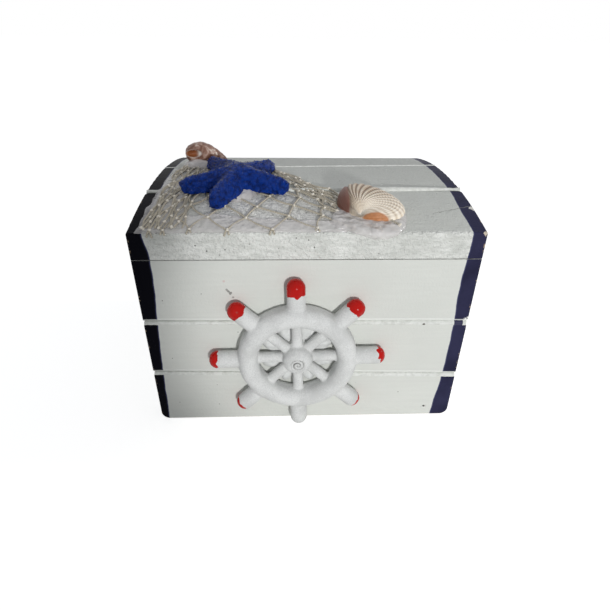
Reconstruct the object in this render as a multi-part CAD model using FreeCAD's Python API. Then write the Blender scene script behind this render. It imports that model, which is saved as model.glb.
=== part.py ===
import FreeCAD, Part
import math
import os

# A small painted treasure chest with a barrel lid, hinged at the back and dressed with sea finds.
# Millimetres. X runs to the right, the front faces -Y, Z is up, origin under the middle of the base.

# Chest body
chest_width = 110.0
chest_depth = 90.0
body_height = 67.0
wall = 6.0
end_board = 6.0
base_thickness = 8.0
lower_joint_left = 22.2
lower_joint_right = 19.7
upper_joint_left = 43.8
upper_joint_right = 42.7
groove_round = 0.5
bullnose = 2.0
bullnose_share = 0.36
plank_corner = 1.3
foot_corner = 3.0

# Lid
seam_gap = 0.3
rail_height = 8.6
crown_rise = 4.8
slat_thickness = 4.5
rail_lip = 1.2
arris_round = 0.8
rail_end_round = 0.5
glue_line = 0.1
front_joint_left = 26.4
front_joint_right = 28.4
back_joint_left = 55.5
back_joint_right = 61.8

# Butt hinges on the outside of the back
hinge_spread = 56.0
hinge_length = 16.0
hinge_leaf = 5.6
leaf_thickness = 0.6
knuckle_radius = 1.3
knuckle_length = 5.2
knuckle_gap = 0.25
knuckle_lift = 0.2
pin_radius = 0.62
pin_clearance = 0.08
pin_head_radius = 1.0
pin_head = 0.5
leaf_relief = 0.2

# Nails
hinge_nail_spread = 10.0
hinge_nail_reach = 3.4
nail_radius = 0.45
nail_clearance = 0.05
nail_length = 4.6
nail_head_radius = 1.1
nail_head_top_radius = 0.85
nail_head = 0.35
brad_inset = 3.7
brad_radius = 0.55
brad_length = 13.0
brad_head_radius = 0.9
brad_head = 0.8

# Ship's wheel on the front
wheel_x = -3.5
wheel_z = 31.6
wheel_radius = 30.2
wheel_turn = 1.2
rim_radius = 17.0
rim_width = 6.7
rim_foot_width = 4.6
rim_foot = 1.8
rim_height = 8.0
handle_radius = 3.0
handle_height = 3.4
handle_tip_round = 2.7
spoke_count = 8
spoke_radius = 1.85
spoke_height = 2.9
hub_radius = 5.8
hub_top_radius = 4.9
hub_shoulder = 6.0
hub_height = 8.6
hub_bulge_share = 0.72
hub_dimple = 3.4
hub_dimple_lift = 2.7
wheel_glue_radius = 10.2
wheel_glue_lobe = 1.4
wheel_glue_round = 1.6
wheel_glue_thickness = 0.6

# Net, glue and finds on the lid: X from the middle, Y from the front edge
net_front_left = (-50.0, 0.9)
net_front_right = (28.0, 2.4)
net_back_right = (-13.0, 51.0)
net_back_left = (-46.5, 59.0)
net_columns = 24
net_rows = 9
net_gather = 0.78
net_least_share = 0.35
net_thread = 0.7
net_lift = 0.1
net_thickness = 0.5
glue_gap = 0.05
glue_thickness = 0.5
find_gap = 0.05
edge_glue_outline = [
    (-50.6, 1.0), (7.0, 1.0), (6.0, 6.0), (-16.0, 7.6), (-37.0, 7.0), (-42.0, 38.0),
    (-29.0, 59.0), (-31.0, 67.0), (-45.0, 67.0), (-50.0, 45.0),
]
edge_glue_round = 1.6

starfish_x = -23.5
starfish_y = 31.5
starfish_arm_angles = [204.0, 257.0, 333.0, 57.0, 111.0]
starfish_arm_lengths = [19.4, 19.6, 18.4, 19.4, 24.0]
arm_root_width = 12.6
arm_tip_width = 6.4
arm_root_height = 7.3
arm_tip_height = 4.4
arm_tip_dome = 1.8
arm_end_width = 3.8
arm_end_height = 3.0
arm_flank_share = 0.35
star_glue_x = -22.4
star_glue_y = 27.6
star_glue_length = 15.0
star_glue_width = 14.0

shell_x = 20.2
shell_y = 12.8
shell_turn = -7.0
shell_length = 21.6
shell_width = 13.6
shell_height = 7.8
shell_wall = 1.1
shell_ribs = 26
rib_depth = 0.3
umbo_shift = 8.0
shell_levels = 6
shell_top_share = 0.16
shell_glue_length = 24.6
shell_glue_width = 18.4
shell_glue_y = 11.2

snail_x = -40.2
snail_y = 60.0
snail_turn = 193.0
snail_sink = 0.7
snail_whorls = [(0.0, 0.0), (0.9, 1.0), (2.2, 1.4), (3.6, 2.4), (5.6, 3.0), (10.4, 4.4), (16.6, 2.2)]
snail_mouth_radius = 2.7
snail_mouth_depth = 1.1
snail_mouth_side = 2.0

# Worked-out places
half_width = chest_width / 2
half_depth = chest_depth / 2
front_y = -half_depth
inner_x = half_width - end_board
inner_y = half_depth - wall
lid_bottom = body_height + seam_gap
rail_top = lid_bottom + rail_height
barrel_radius = (half_depth ** 2 + crown_rise ** 2) / (2 * crown_rise)
barrel_z = rail_top + crown_rise - barrel_radius
slat_underside = -slat_thickness
seat_level = slat_underside - glue_line
net_top = net_lift + net_thickness
glue_bottom = net_top + glue_gap
glue_top = glue_bottom + glue_thickness
find_level = glue_top + find_gap
pin_y = half_depth + knuckle_radius + knuckle_lift
pin_z = body_height + seam_gap / 2
bore_radius = pin_radius + pin_clearance
nail_hole = nail_radius + nail_clearance
brad_x = inner_x - brad_inset
tall = 2 * (rail_top + crown_rise)
same_place = 1e-4


def vec(x, y, z):
    return FreeCAD.Vector(x, y, z)


def barrel_height(y, level):
    # Height of the barrel surface, raised by level, at a place across the lid
    return barrel_z + math.sqrt((barrel_radius + level) ** 2 - y ** 2)


def on_barrel(x, y, level):
    return vec(x, y, barrel_height(y, level))


def barrel_arc(y_start, y_end, level):
    middle = (y_start + y_end) / 2
    ends = [on_barrel(0, y, level) for y in (y_start, middle, y_end)]
    return Part.Arc(*ends).toShape()


def line(start, end):
    return Part.makeLine(start, end)


def box_between(low, high):
    return Part.makeBox(high.x - low.x, high.y - low.y, high.z - low.z, low)


def extruded_across(edges, x_from, x_to):
    # A profile drawn at X = 0, drawn out between two X places
    face = Part.Face(Part.Wire(Part.__sortEdges__(edges)))
    face.translate(vec(x_from, 0, 0))
    return face.extrude(vec(x_to - x_from, 0, 0))


def rounded_wire(points, radii):
    # A closed outline of straight runs whose corners are tangent arcs
    edges = []
    count = len(points)
    ends = []
    for index in range(count):
        corner = points[index]
        back = (points[index - 1] - corner).normalize()
        ahead = (points[(index + 1) % count] - corner).normalize()
        half_angle = back.getAngle(ahead) / 2
        reach = radii[index] / math.tan(half_angle)
        bisector = (back + ahead).normalize()
        centre = corner + bisector * (radii[index] / math.sin(half_angle))
        ends.append((corner + back * reach, centre - bisector * radii[index], corner + ahead * reach))
    for index in range(count):
        start, middle, finish = ends[index]
        if radii[index] > 0:
            edges.append(Part.Arc(start, middle, finish).toShape())
        edges.append(line(finish, ends[(index + 1) % count][0]))
    return Part.Wire(edges)


def nose_cutter(left, right, along_face, into_board):
    # What a broad round takes off a long edge: an arc that meets both faces with a faint arris
    length = right - left
    edge = left - length / 2
    face_end = edge + along_face * bullnose
    deep_end = edge + into_board * bullnose
    diagonal = along_face + into_board
    middle = edge + diagonal * (bullnose * bullnose_share)
    above = face_end - into_board * bullnose
    outside = edge - diagonal * bullnose
    ahead = deep_end - along_face * bullnose
    edges = [
        Part.Arc(face_end, middle, deep_end).toShape(),
        line(deep_end, ahead),
        line(ahead, outside),
        line(outside, above),
        line(above, face_end),
    ]
    return Part.Face(Part.Wire(edges)).extrude(length * 2)


def plank(low_left, low_right, high_left, high_right, low_corner, high_corner, outer_y, inner_y_place):
    # One wall plank: tapered in height, with its corners and its outer edges eased,
    # and a broad round along its lower edge where that makes a groove
    corners = [
        vec(-half_width, outer_y, low_left),
        vec(half_width, outer_y, low_right),
        vec(half_width, outer_y, high_right),
        vec(-half_width, outer_y, high_left),
    ]
    outline = rounded_wire(corners, [low_corner, low_corner, high_corner, high_corner])
    solid = Part.Face(outline).extrude(vec(0, inner_y_place - outer_y, 0))
    seam = max(high_left, high_right) if high_corner == 0 else math.inf
    eased = []
    for edge in solid.Edges:
        points = [vertex.Point for vertex in edge.Vertexes]
        on_outer_face = all(abs(point.y - outer_y) < same_place for point in points)
        at_seam = all(abs(point.z - seam) < same_place for point in points)
        if on_outer_face and not at_seam:
            eased.append(edge)
    solid = solid.makeFillet(groove_round, eased)
    if low_left > 0:
        inward = vec(0, math.copysign(1, inner_y_place - outer_y), 0)
        solid = solid.cut(nose_cutter(corners[0], corners[1], vec(0, 0, 1), inward))
    return solid


def long_wall(outer_y, inner_y_place):
    # Lower, middle and upper plank of the front or the back
    lower_ends = (lower_joint_left, lower_joint_right)
    upper_ends = (upper_joint_left, upper_joint_right)
    lower = plank(0, 0, *lower_ends, foot_corner, plank_corner, outer_y, inner_y_place)
    middle = plank(*lower_ends, *upper_ends, plank_corner, plank_corner, outer_y, inner_y_place)
    upper = plank(*upper_ends, body_height, body_height, plank_corner, 0, outer_y, inner_y_place)
    return lower, middle, upper


def end_plank(side, low_z, high_z, low_corner, high_corner):
    # A plank between the front and back walls, its outer edges eased to meet their corners
    corners = [
        vec(side * inner_x, -inner_y, low_z),
        vec(side * half_width, -inner_y, low_z),
        vec(side * half_width, -inner_y, high_z),
        vec(side * inner_x, -inner_y, high_z),
    ]
    outline = rounded_wire(corners, [0, low_corner, high_corner, 0])
    return Part.Face(outline).extrude(vec(0, 2 * inner_y, 0))


def end_wall(side, lower_joint, upper_joint):
    lower = end_plank(side, 0, lower_joint, foot_corner, plank_corner)
    middle = end_plank(side, lower_joint, upper_joint, plank_corner, plank_corner)
    upper = end_plank(side, upper_joint, body_height, plank_corner, 0)
    return lower, middle, upper


def base():
    return box_between(vec(-inner_x, -inner_y, 0), vec(inner_x, inner_y, base_thickness))


def lid_arch(side):
    # End board of the lid, cut to the barrel under the slats
    edges = [
        line(vec(0, -inner_y, lid_bottom), vec(0, inner_y, lid_bottom)),
        line(vec(0, inner_y, lid_bottom), on_barrel(0, inner_y, seat_level)),
        barrel_arc(-inner_y, inner_y, seat_level),
        line(on_barrel(0, -inner_y, seat_level), vec(0, -inner_y, lid_bottom)),
    ]
    return extruded_across(edges, side * inner_x, side * half_width)


def lid_rail():
    # Front rail: a lip hides the slat's edge, the rebate behind it carries the slat
    lip_y = front_y + rail_lip
    round_y = front_y + arris_round
    round_z = rail_top - arris_round
    swing = arris_round * (1 - math.sqrt(0.5))
    edges = [
        line(vec(0, front_y, lid_bottom), vec(0, front_y, round_z)),
        Part.Arc(
            vec(0, front_y, round_z),
            vec(0, front_y + swing, barrel_height(round_y, 0) - swing),
            on_barrel(0, round_y, 0),
        ).toShape(),
        barrel_arc(round_y, lip_y, 0),
        line(on_barrel(0, lip_y, 0), on_barrel(0, lip_y, seat_level)),
        barrel_arc(lip_y, -inner_y, seat_level),
        line(on_barrel(0, -inner_y, seat_level), vec(0, -inner_y, lid_bottom)),
        line(vec(0, -inner_y, lid_bottom), vec(0, front_y, lid_bottom)),
    ]
    rail = extruded_across(edges, -half_width, half_width)
    return rail.makeFillet(rail_end_round, [edge for edge in rail.Edges if on_rail_end(edge)])


def on_rail_end(edge):
    # True for an end edge that runs along the rail's front face, arris or lip
    points = [vertex.Point for vertex in edge.Vertexes]
    across = abs(points[0].x - points[-1].x) < same_place
    on_front = [abs(point.y - front_y) < same_place for point in points]
    on_top = [abs(point.z - barrel_height(point.y, 0)) < same_place for point in points]
    return across and all(front or top for front, top in zip(on_front, on_top))


def mirrored_back(shape):
    return shape.mirror(vec(0, 0, 0), vec(0, 1, 0))


def barrel_layer(low_level, high_level):
    # A curved sheet that follows the barrel over the whole lid
    edges = [
        barrel_arc(front_y, half_depth, low_level),
        line(on_barrel(0, half_depth, low_level), on_barrel(0, half_depth, high_level)),
        barrel_arc(front_y, half_depth, high_level),
        line(on_barrel(0, front_y, low_level), on_barrel(0, front_y, high_level)),
    ]
    return extruded_across(edges, -half_width, half_width)


def lid_slat(front_left, front_right, back_left, back_right, front_corner, back_corner):
    # A top slat, cut from the barrel sheet to its tapered plan, with eased edges along its grooves
    # and a broad round along the front edge that the slat before it butts against
    corners = [
        vec(-half_width, front_left, 0),
        vec(half_width, front_right, 0),
        vec(half_width, back_right, 0),
        vec(-half_width, back_left, 0),
    ]
    plan = rounded_wire(corners, [front_corner, front_corner, back_corner, back_corner])
    solid = barrel_layer(slat_underside, 0).common(Part.Face(plan).extrude(vec(0, 0, tall)))
    butted = []
    if front_corner == 0:
        butted.append(front_left)
    if back_corner == 0:
        butted.append(back_left)
    eased = []
    for edge in solid.Edges:
        points = [vertex.Point for vertex in edge.Vertexes]
        on_top = all(abs(point.z - barrel_height(point.y, 0)) < same_place for point in points)
        at_lip = any(all(abs(point.y - place) < same_place for point in points) for place in butted)
        if on_top and not at_lip:
            eased.append(edge)
    solid = solid.makeFillet(groove_round, eased)
    if front_corner > 0:
        middle = (front_left + front_right) / 2
        along = (on_barrel(0, middle + bullnose, 0) - on_barrel(0, middle, 0)).normalize()
        left = on_barrel(-half_width, front_left, 0)
        right = on_barrel(half_width, front_right, 0)
        solid = solid.cut(nose_cutter(left, right, along, vec(0, 0, -1)))
    return solid


def cylinder_along_x(radius, x_from, x_to, y, z):
    return Part.makeCylinder(radius, x_to - x_from, vec(x_from, y, z), vec(1, 0, 0))


def hinge_half(x_middle, up, spans):
    # One leaf with its knuckles: up is +1 for the lid's leaf and -1 for the body's
    edge_z = pin_z + up * hinge_leaf
    relief_z = pin_z + up * (knuckle_radius + leaf_relief)
    leaf_y = half_depth + leaf_thickness
    half_length = hinge_length / 2
    leaf = box_between(
        vec(x_middle - half_length, half_depth, min(edge_z, relief_z)),
        vec(x_middle + half_length, leaf_y, max(edge_z, relief_z)),
    )
    bore = cylinder_along_x(bore_radius, x_middle - half_length, x_middle + half_length, pin_y, pin_z)
    for start, finish in spans:
        tab = box_between(
            vec(x_middle + start, half_depth, min(relief_z, pin_z)),
            vec(x_middle + finish, leaf_y, max(relief_z, pin_z)),
        )
        knuckle = cylinder_along_x(knuckle_radius, x_middle + start, x_middle + finish, pin_y, pin_z)
        leaf = leaf.fuse(tab.fuse(knuckle))
    leaf = leaf.cut(bore)
    for x in hinge_nail_places(x_middle):
        leaf = leaf.cut(nail_hole_cutter(x, up))
    return leaf.removeSplitter()


def hinge_nail_places(x_middle):
    return [x_middle - hinge_nail_spread / 2, x_middle + hinge_nail_spread / 2]


def nail_start(x, up):
    return vec(x, half_depth + leaf_thickness, pin_z + up * hinge_nail_reach)


def nail_hole_cutter(x, up):
    return Part.makeCylinder(nail_hole, nail_length, nail_start(x, up), vec(0, -1, 0))


def hinge_nail(x, up):
    head = Part.makeCone(nail_head_radius, nail_head_top_radius, nail_head, nail_start(x, up), vec(0, 1, 0))
    shank_length = nail_length - nail_clearance
    shank = Part.makeCylinder(nail_radius, shank_length, nail_start(x, up), vec(0, -1, 0))
    return head.fuse(shank)


def hinge_nails(up):
    places = [x for x_middle in hinge_places() for x in hinge_nail_places(x_middle)]
    return Part.makeCompound([hinge_nail(x, up) for x in places])


def with_nail_holes(wood, up):
    for x_middle in hinge_places():
        for x in hinge_nail_places(x_middle):
            wood = wood.cut(nail_hole_cutter(x, up))
    return wood


def hinge_places():
    return [-hinge_spread / 2, hinge_spread / 2]


def hinge_pin(x_middle):
    half_length = hinge_length / 2
    pin = cylinder_along_x(pin_radius, x_middle - half_length, x_middle + half_length, pin_y, pin_z)
    for start in (-half_length - pin_head, half_length):
        x_start = x_middle + start
        pin = pin.fuse(cylinder_along_x(pin_head_radius, x_start, x_start + pin_head, pin_y, pin_z))
    return pin


def brad(extra):
    # Nail through the lower front plank into the edge of the base, its head sunk flush
    start = vec(brad_x, front_y, base_thickness / 2)
    head = Part.makeCone(brad_head_radius + extra, brad_radius + extra, brad_head, start, vec(0, 1, 0))
    return head.fuse(Part.makeCylinder(brad_radius + extra, brad_length + extra, start, vec(0, 1, 0)))


def turned(shape, index):
    copy = shape.copy()
    copy.rotate(vec(0, 0, 0), vec(0, 0, 1), index * 360.0 / spoke_count)
    return copy


def stood_on_front(shape):
    # From the wheel's own flat frame to the chest's front
    turn = FreeCAD.Rotation(vec(1, 0, 0), 90).multiply(FreeCAD.Rotation(vec(0, 0, 1), wheel_turn))
    shape.Placement = FreeCAD.Placement(vec(wheel_x, front_y, wheel_z), turn)
    return shape


def wheel_handle():
    length = wheel_radius - rim_radius
    handle = Part.makeCylinder(handle_radius, length, vec(rim_radius, 0, handle_height), vec(1, 0, 0))
    tip = [edge for edge in handle.Edges if edge.CenterOfMass.x > wheel_radius - same_place]
    return handle.makeFillet(handle_tip_round, tip)


def wheel_hub():
    low = wheel_glue_thickness
    shoulder = vec(hub_top_radius, 0, hub_shoulder)
    crown = vec(0, 0, hub_height)
    dome = hub_height - hub_shoulder
    bulge = vec(hub_top_radius * hub_bulge_share, 0, hub_shoulder + dome * hub_bulge_share)
    edges = [
        line(vec(0, 0, low), vec(hub_radius, 0, low)),
        line(vec(hub_radius, 0, low), shoulder),
        Part.Arc(shoulder, bulge, crown).toShape(),
        line(crown, vec(0, 0, low)),
    ]
    hub = Part.Face(Part.Wire(edges)).revolve(vec(0, 0, 0), vec(0, 0, 1), 360)
    return hub.cut(Part.makeSphere(hub_dimple, vec(0, 0, hub_height + hub_dimple_lift)))


def wheel_rim():
    # A narrow foot and upright walls under a half-round crest
    inside = rim_radius - rim_width / 2
    outside = rim_radius + rim_width / 2
    foot_inside = rim_radius - rim_foot_width / 2
    foot_outside = rim_radius + rim_foot_width / 2
    shoulder = rim_height - rim_width / 2
    crest = vec(rim_radius, 0, rim_height)
    edges = [
        line(vec(foot_inside, 0, 0), vec(foot_outside, 0, 0)),
        line(vec(foot_outside, 0, 0), vec(outside, 0, rim_foot)),
        line(vec(outside, 0, rim_foot), vec(outside, 0, shoulder)),
        Part.Arc(vec(outside, 0, shoulder), crest, vec(inside, 0, shoulder)).toShape(),
        line(vec(inside, 0, shoulder), vec(inside, 0, rim_foot)),
        line(vec(inside, 0, rim_foot), vec(foot_inside, 0, 0)),
    ]
    return Part.Face(Part.Wire(edges)).revolve(vec(0, 0, 0), vec(0, 0, 1), 360)


def ships_wheel():
    # One casting: rounded rim, spokes and handles in line, domed hub
    spoke_length = rim_radius - hub_top_radius
    spoke = Part.makeCylinder(spoke_radius, spoke_length, vec(hub_top_radius, 0, spoke_height), vec(1, 0, 0))
    handle = wheel_handle()
    pieces = [wheel_hub()]
    for index in range(spoke_count):
        pieces.append(turned(spoke, index))
        pieces.append(turned(handle, index))
    return stood_on_front(wheel_rim().multiFuse(pieces))


def wheel_glue():
    # Squeezed-out pad under the hub, bulging between the spokes
    points = []
    steps = 2 * spoke_count
    for step in range(steps):
        angle = 2 * math.pi * step / steps
        radius = wheel_glue_radius + wheel_glue_lobe * (1 if step % 2 else -1)
        points.append(vec(radius * math.cos(angle), radius * math.sin(angle), 0))
    outline = rounded_wire(points, [wheel_glue_round] * steps)
    return stood_on_front(Part.Face(outline).extrude(vec(0, 0, wheel_glue_thickness)))


def on_plan(place):
    return vec(place[0], front_y + place[1], 0)


def net_knot(column, row):
    # A knot's plan place: columns crowd together along both gathered sides
    share = column / net_columns
    share -= net_gather * math.sin(2 * math.pi * share) / (2 * math.pi)
    depth = row / net_rows
    left = on_plan(net_front_left) * (1 - depth) + on_plan(net_back_left) * depth
    right = on_plan(net_front_right) * (1 - depth) + on_plan(net_back_right) * depth
    return left * (1 - share) + right * share


def net_hole(column, row):
    # A diamond opening, drawn in from its knots by half a thread, or None where the threads lie together
    knots = [
        net_knot(column - 1, row),
        net_knot(column, row + 1),
        net_knot(column + 1, row),
        net_knot(column, row - 1),
    ]
    diamond = Part.makePolygon(knots + knots[:1])
    inner_radius = 2 * Part.Face(diamond).Area / diamond.Length
    share = 1 - net_thread / 2 / inner_radius
    if share < net_least_share:
        return None
    middle = (knots[0] + knots[1] + knots[2] + knots[3]) * 0.25
    drawn_in = [middle + (knot - middle) * share for knot in knots]
    return Part.makePolygon(drawn_in + drawn_in[:1])


def draped(outline_face, low_level, high_level):
    return outline_face.extrude(vec(0, 0, tall)).common(barrel_layer(low_level, high_level))


def fishing_net():
    corners = [on_plan(place) for place in (net_front_left, net_front_right, net_back_right, net_back_left)]
    wires = [Part.makePolygon(corners + corners[:1])]
    for row in range(1, net_rows):
        for column in range(1, net_columns):
            hole = net_hole(column, row) if (column + row) % 2 else None
            if hole:
                wires.append(hole)
    holed = Part.makeFace(Part.makeCompound(wires), "Part::FaceMakerBullseye")
    return draped(holed, net_lift, net_top)


def edge_glue():
    corners = [on_plan(place) for place in edge_glue_outline]
    outline = rounded_wire(corners, [edge_glue_round] * len(corners))
    return draped(Part.Face(outline), glue_bottom, glue_top)


def glue_oval(x, y, length, width):
    middle = on_plan((x, y))
    reach = sorted([vec(length / 2, 0, 0), vec(0, width / 2, 0)], key=lambda axis: -axis.Length)
    oval = Part.Ellipse(middle + reach[0], middle + reach[1], middle)
    return draped(Part.Face(Part.Wire(oval.toShape())), glue_bottom, glue_top)


def seated(shape):
    # Cut the underside of a find to the barrel it is glued on
    barrel = cylinder_along_x(barrel_radius + find_level, -half_width, half_width, 0, barrel_z)
    return shape.cut(barrel)


def arm_section(distance, width, height):
    # Across an arm: upright flanks under a rounded ridge
    half = width / 2
    flank = height * arm_flank_share
    points = [
        vec(distance, -half, -height),
        vec(distance, -half, flank),
        vec(distance, 0, height),
        vec(distance, half, flank),
        vec(distance, half, -height),
    ]
    edges = [
        line(points[0], points[1]),
        Part.Arc(points[1], points[2], points[3]).toShape(),
        line(points[3], points[4]),
        line(points[4], points[0]),
    ]
    return Part.Wire(edges)


def starfish_arm(angle, length):
    root = arm_section(0, arm_root_width, arm_root_height)
    tip = arm_section(length - arm_tip_dome, arm_tip_width, arm_tip_height)
    end = arm_section(length, arm_end_width, arm_end_height)
    arm = Part.makeLoft([root, tip, end], True, True)
    arm.rotate(vec(0, 0, 0), vec(0, 0, 1), angle)
    return arm


def starfish():
    arms = [starfish_arm(*arm) for arm in zip(starfish_arm_angles, starfish_arm_lengths)]
    star = arms[0].multiFuse(arms[1:])
    y = front_y + starfish_y
    star.translate(on_barrel(starfish_x, y, find_level))
    return seated(star)


def shell_contour(level, length, width, height, rib):
    # A growth line: a ribbed oval that closes in on the umbo as it climbs
    climb = level / shell_levels * math.acos(shell_top_share)
    share = math.cos(climb)
    points = []
    steps = 2 * shell_ribs
    for step in range(steps):
        angle = 2 * math.pi * step / steps
        ridge = rib * share * (1 if step % 2 else -1)
        x = (length / 2 * share + ridge) * math.cos(angle) - umbo_shift * (1 - share)
        y = (width / 2 * share + ridge) * math.sin(angle)
        points.append(vec(x, y, height * math.sin(climb)))
    return Part.makePolygon(points + points[:1])


def shell_dome(length, width, height, rib):
    contours = [shell_contour(level, length, width, height, rib) for level in range(shell_levels + 1)]
    foot = contours[0].copy()
    foot.translate(vec(0, 0, -shell_wall))
    return Part.makeLoft([foot] + contours, True, True)


def ribbed_shell():
    outer = shell_dome(shell_length, shell_width, shell_height, rib_depth)
    inset = 2 * shell_wall
    inner = shell_dome(shell_length - inset, shell_width - inset, shell_height - shell_wall, 0)
    shell = outer.cut(inner)
    shell.rotate(vec(0, 0, 0), vec(0, 0, 1), shell_turn)
    y = front_y + shell_y
    shell.translate(on_barrel(shell_x, y, find_level))
    return seated(shell)


def snail_shell():
    # Whorls swelling from the apex to the mouth, turned about the shell's own axis
    stations = [vec(along, radius, 0) for along, radius in snail_whorls]
    edges = []
    for index in range(0, len(stations) - 1, 2):
        edges.append(Part.Arc(*stations[index:index + 3]).toShape())
    last = stations[-1]
    foot = vec(last.x, 0, 0)
    edges.append(line(last, foot))
    edges.append(line(foot, stations[0]))
    snail = Part.Face(Part.Wire(edges)).revolve(vec(0, 0, 0), vec(1, 0, 0), 360)
    belly = stations[-2]
    mouth = vec(last.x - snail_mouth_depth, snail_mouth_side, 0)
    snail = snail.cut(Part.makeSphere(snail_mouth_radius, mouth))
    snail.translate(vec(-belly.x, 0, 0))
    snail.rotate(vec(0, 0, 0), vec(0, 0, 1), snail_turn)
    y = front_y + snail_y
    snail.translate(on_barrel(snail_x, y, find_level + belly.y - snail_sink))
    return seated(snail)


def chest_body_nodes():
    hole = brad(nail_clearance)
    nodes = {
        "base_board": base().cut(hole),
        "base_brad": brad(0),
        "ships_wheel": ships_wheel(),
        "wheel_glue": wheel_glue(),
    }
    walls = {
        "front": long_wall(front_y, -inner_y),
        "back": long_wall(half_depth, inner_y),
        "left": end_wall(-1, lower_joint_left, upper_joint_left),
        "right": end_wall(1, lower_joint_right, upper_joint_right),
    }
    for place, planks in walls.items():
        for course, solid in zip(("lower", "middle", "upper"), planks):
            nodes[place + "_plank_" + course] = solid
    nodes["front_plank_lower"] = nodes["front_plank_lower"].cut(hole)
    nodes["back_plank_upper"] = with_nail_holes(nodes["back_plank_upper"], -1)
    return nodes


def lid_nodes():
    rail = lid_rail()
    front_lip = front_y + rail_lip
    first = (front_y + front_joint_left, front_y + front_joint_right)
    second = (front_y + back_joint_left, front_y + back_joint_right)
    return {
        "lid_left_arch": lid_arch(-1),
        "lid_right_arch": lid_arch(1),
        "lid_front_rail": rail,
        "lid_back_rail": with_nail_holes(mirrored_back(rail), 1),
        "lid_front_slat": lid_slat(front_lip, front_lip, *first, 0, plank_corner),
        "lid_crown_slat": lid_slat(*first, *second, plank_corner, plank_corner),
        "lid_back_slat": lid_slat(*second, -front_lip, -front_lip, plank_corner, 0),
        "fishing_net": fishing_net(),
        "edge_glue": edge_glue(),
        "starfish_glue": glue_oval(star_glue_x, star_glue_y, star_glue_length, star_glue_width),
        "shell_glue": glue_oval(shell_x, shell_glue_y, shell_glue_length, shell_glue_width),
        "starfish": starfish(),
        "ribbed_shell": ribbed_shell(),
        "snail_shell": snail_shell(),
    }


def hinge_nodes():
    half_length = hinge_length / 2
    inside = knuckle_length / 2 + knuckle_gap
    outer_spans = [(-half_length, -inside), (inside, half_length)]
    middle_span = [(-knuckle_length / 2, knuckle_length / 2)]
    nodes = {}
    for side, x_middle in zip(("left", "right"), hinge_places()):
        nodes["hinge_body_leaf_" + side] = hinge_half(x_middle, -1, outer_spans)
        nodes["hinge_lid_leaf_" + side] = hinge_half(x_middle, 1, middle_span)
        nodes["hinge_pin_" + side] = hinge_pin(x_middle)
    nodes["body_hinge_nails"] = hinge_nails(-1)
    nodes["lid_hinge_nails"] = hinge_nails(1)
    return nodes


os.makedirs("parts", exist_ok=True)
for name, shape in {**chest_body_nodes(), **lid_nodes(), **hinge_nodes()}.items():
    shape.exportStep("parts/" + name + ".step")
    print(name, len(shape.Solids), round(shape.Volume, 1), shape.isValid())
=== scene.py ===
import math
import random
from functools import partial

import bmesh
import bpy
import numpy as np
from mathutils import Matrix, Vector, noise


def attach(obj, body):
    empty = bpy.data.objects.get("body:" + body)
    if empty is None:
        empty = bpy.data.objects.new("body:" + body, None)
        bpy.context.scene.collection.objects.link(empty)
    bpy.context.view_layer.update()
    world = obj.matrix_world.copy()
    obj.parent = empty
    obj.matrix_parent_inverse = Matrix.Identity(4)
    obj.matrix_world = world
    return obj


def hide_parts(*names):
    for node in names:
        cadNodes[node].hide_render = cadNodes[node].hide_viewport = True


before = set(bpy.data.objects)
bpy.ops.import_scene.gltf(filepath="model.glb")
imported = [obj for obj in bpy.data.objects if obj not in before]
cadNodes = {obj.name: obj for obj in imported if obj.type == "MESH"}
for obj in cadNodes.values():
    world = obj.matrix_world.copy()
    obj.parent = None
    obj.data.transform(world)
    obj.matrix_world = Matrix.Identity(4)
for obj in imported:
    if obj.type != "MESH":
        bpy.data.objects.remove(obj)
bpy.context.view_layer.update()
mm = 0.001

# The chest's own sizes in millimetres, as the solids have them
chest = {
    "halfWidth": 55.0,
    "halfDepth": 45.0,
    "seam": 67.0,
    "railTop": 75.9,
    "crown": 80.7,
    "barrelRadius": 213.3375,
    "wheelX": -3.5,
    "wheelZ": 31.6,
}
chest["barrelZ"] = chest["crown"] - chest["barrelRadius"]


def hexColour(text):
    # sRGB hex to linear
    parts = [int(text[i:i + 2], 16) / 255 for i in (1, 3, 5)]
    return tuple(c / 12.92 if c <= 0.04045 else ((c + 0.055) / 1.055) ** 2.4 for c in parts) + (1.0,)


def setInputs(node, inputs):
    # an input is a value, a hex colour, a socket, a node for its first live output, or a list to join
    for key, given in inputs.items():
        for value in given if isinstance(given, list) else [given]:
            if isinstance(value, bpy.types.Node):
                value = next(socket for socket in value.outputs if socket.enabled)
            if isinstance(value, bpy.types.NodeSocket):
                node.id_data.links.new(value, node.inputs[key])
            elif isinstance(value, str) and value.startswith("#"):
                node.inputs[key].default_value = hexColour(value)
            else:
                node.inputs[key].default_value = value


def addNode(tree, kind, inputs=None, **settings):
    # a Mix node takes numbers at 2 and 3 and colours at 6 and 7, a Map Range its limits at 1 to 4
    node = tree.nodes.new(kind)
    for name, value in settings.items():
        setattr(node, name, value)
    setInputs(node, inputs or {})
    return node


def clearNodes(owner):
    # empties the tree of a material or world, and gives the function that adds nodes to it
    owner.use_nodes = True
    owner.node_tree.nodes.clear()
    return partial(addNode, owner.node_tree)


def newMaterial(name):
    # a plain material, with object coordinates in millimetres for its patterns
    material = bpy.data.materials.new(name)
    add = clearNodes(material)
    shader = add("ShaderNodeBsdfPrincipled")
    add("ShaderNodeOutputMaterial", {"Surface": shader})
    coords = add("ShaderNodeTexCoord").outputs["Object"]
    place = add("ShaderNodeVectorMath", {0: coords, "Scale": 1 / mm}, operation="SCALE")
    return material, add, shader, place


def setRamp(node, stops):
    ramp = node.color_ramp
    while len(ramp.elements) < len(stops):
        ramp.elements.new(0.5)
    for element, (place, colour) in zip(ramp.elements, stops):
        element.position = place
        element.color = hexColour(colour)


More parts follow.
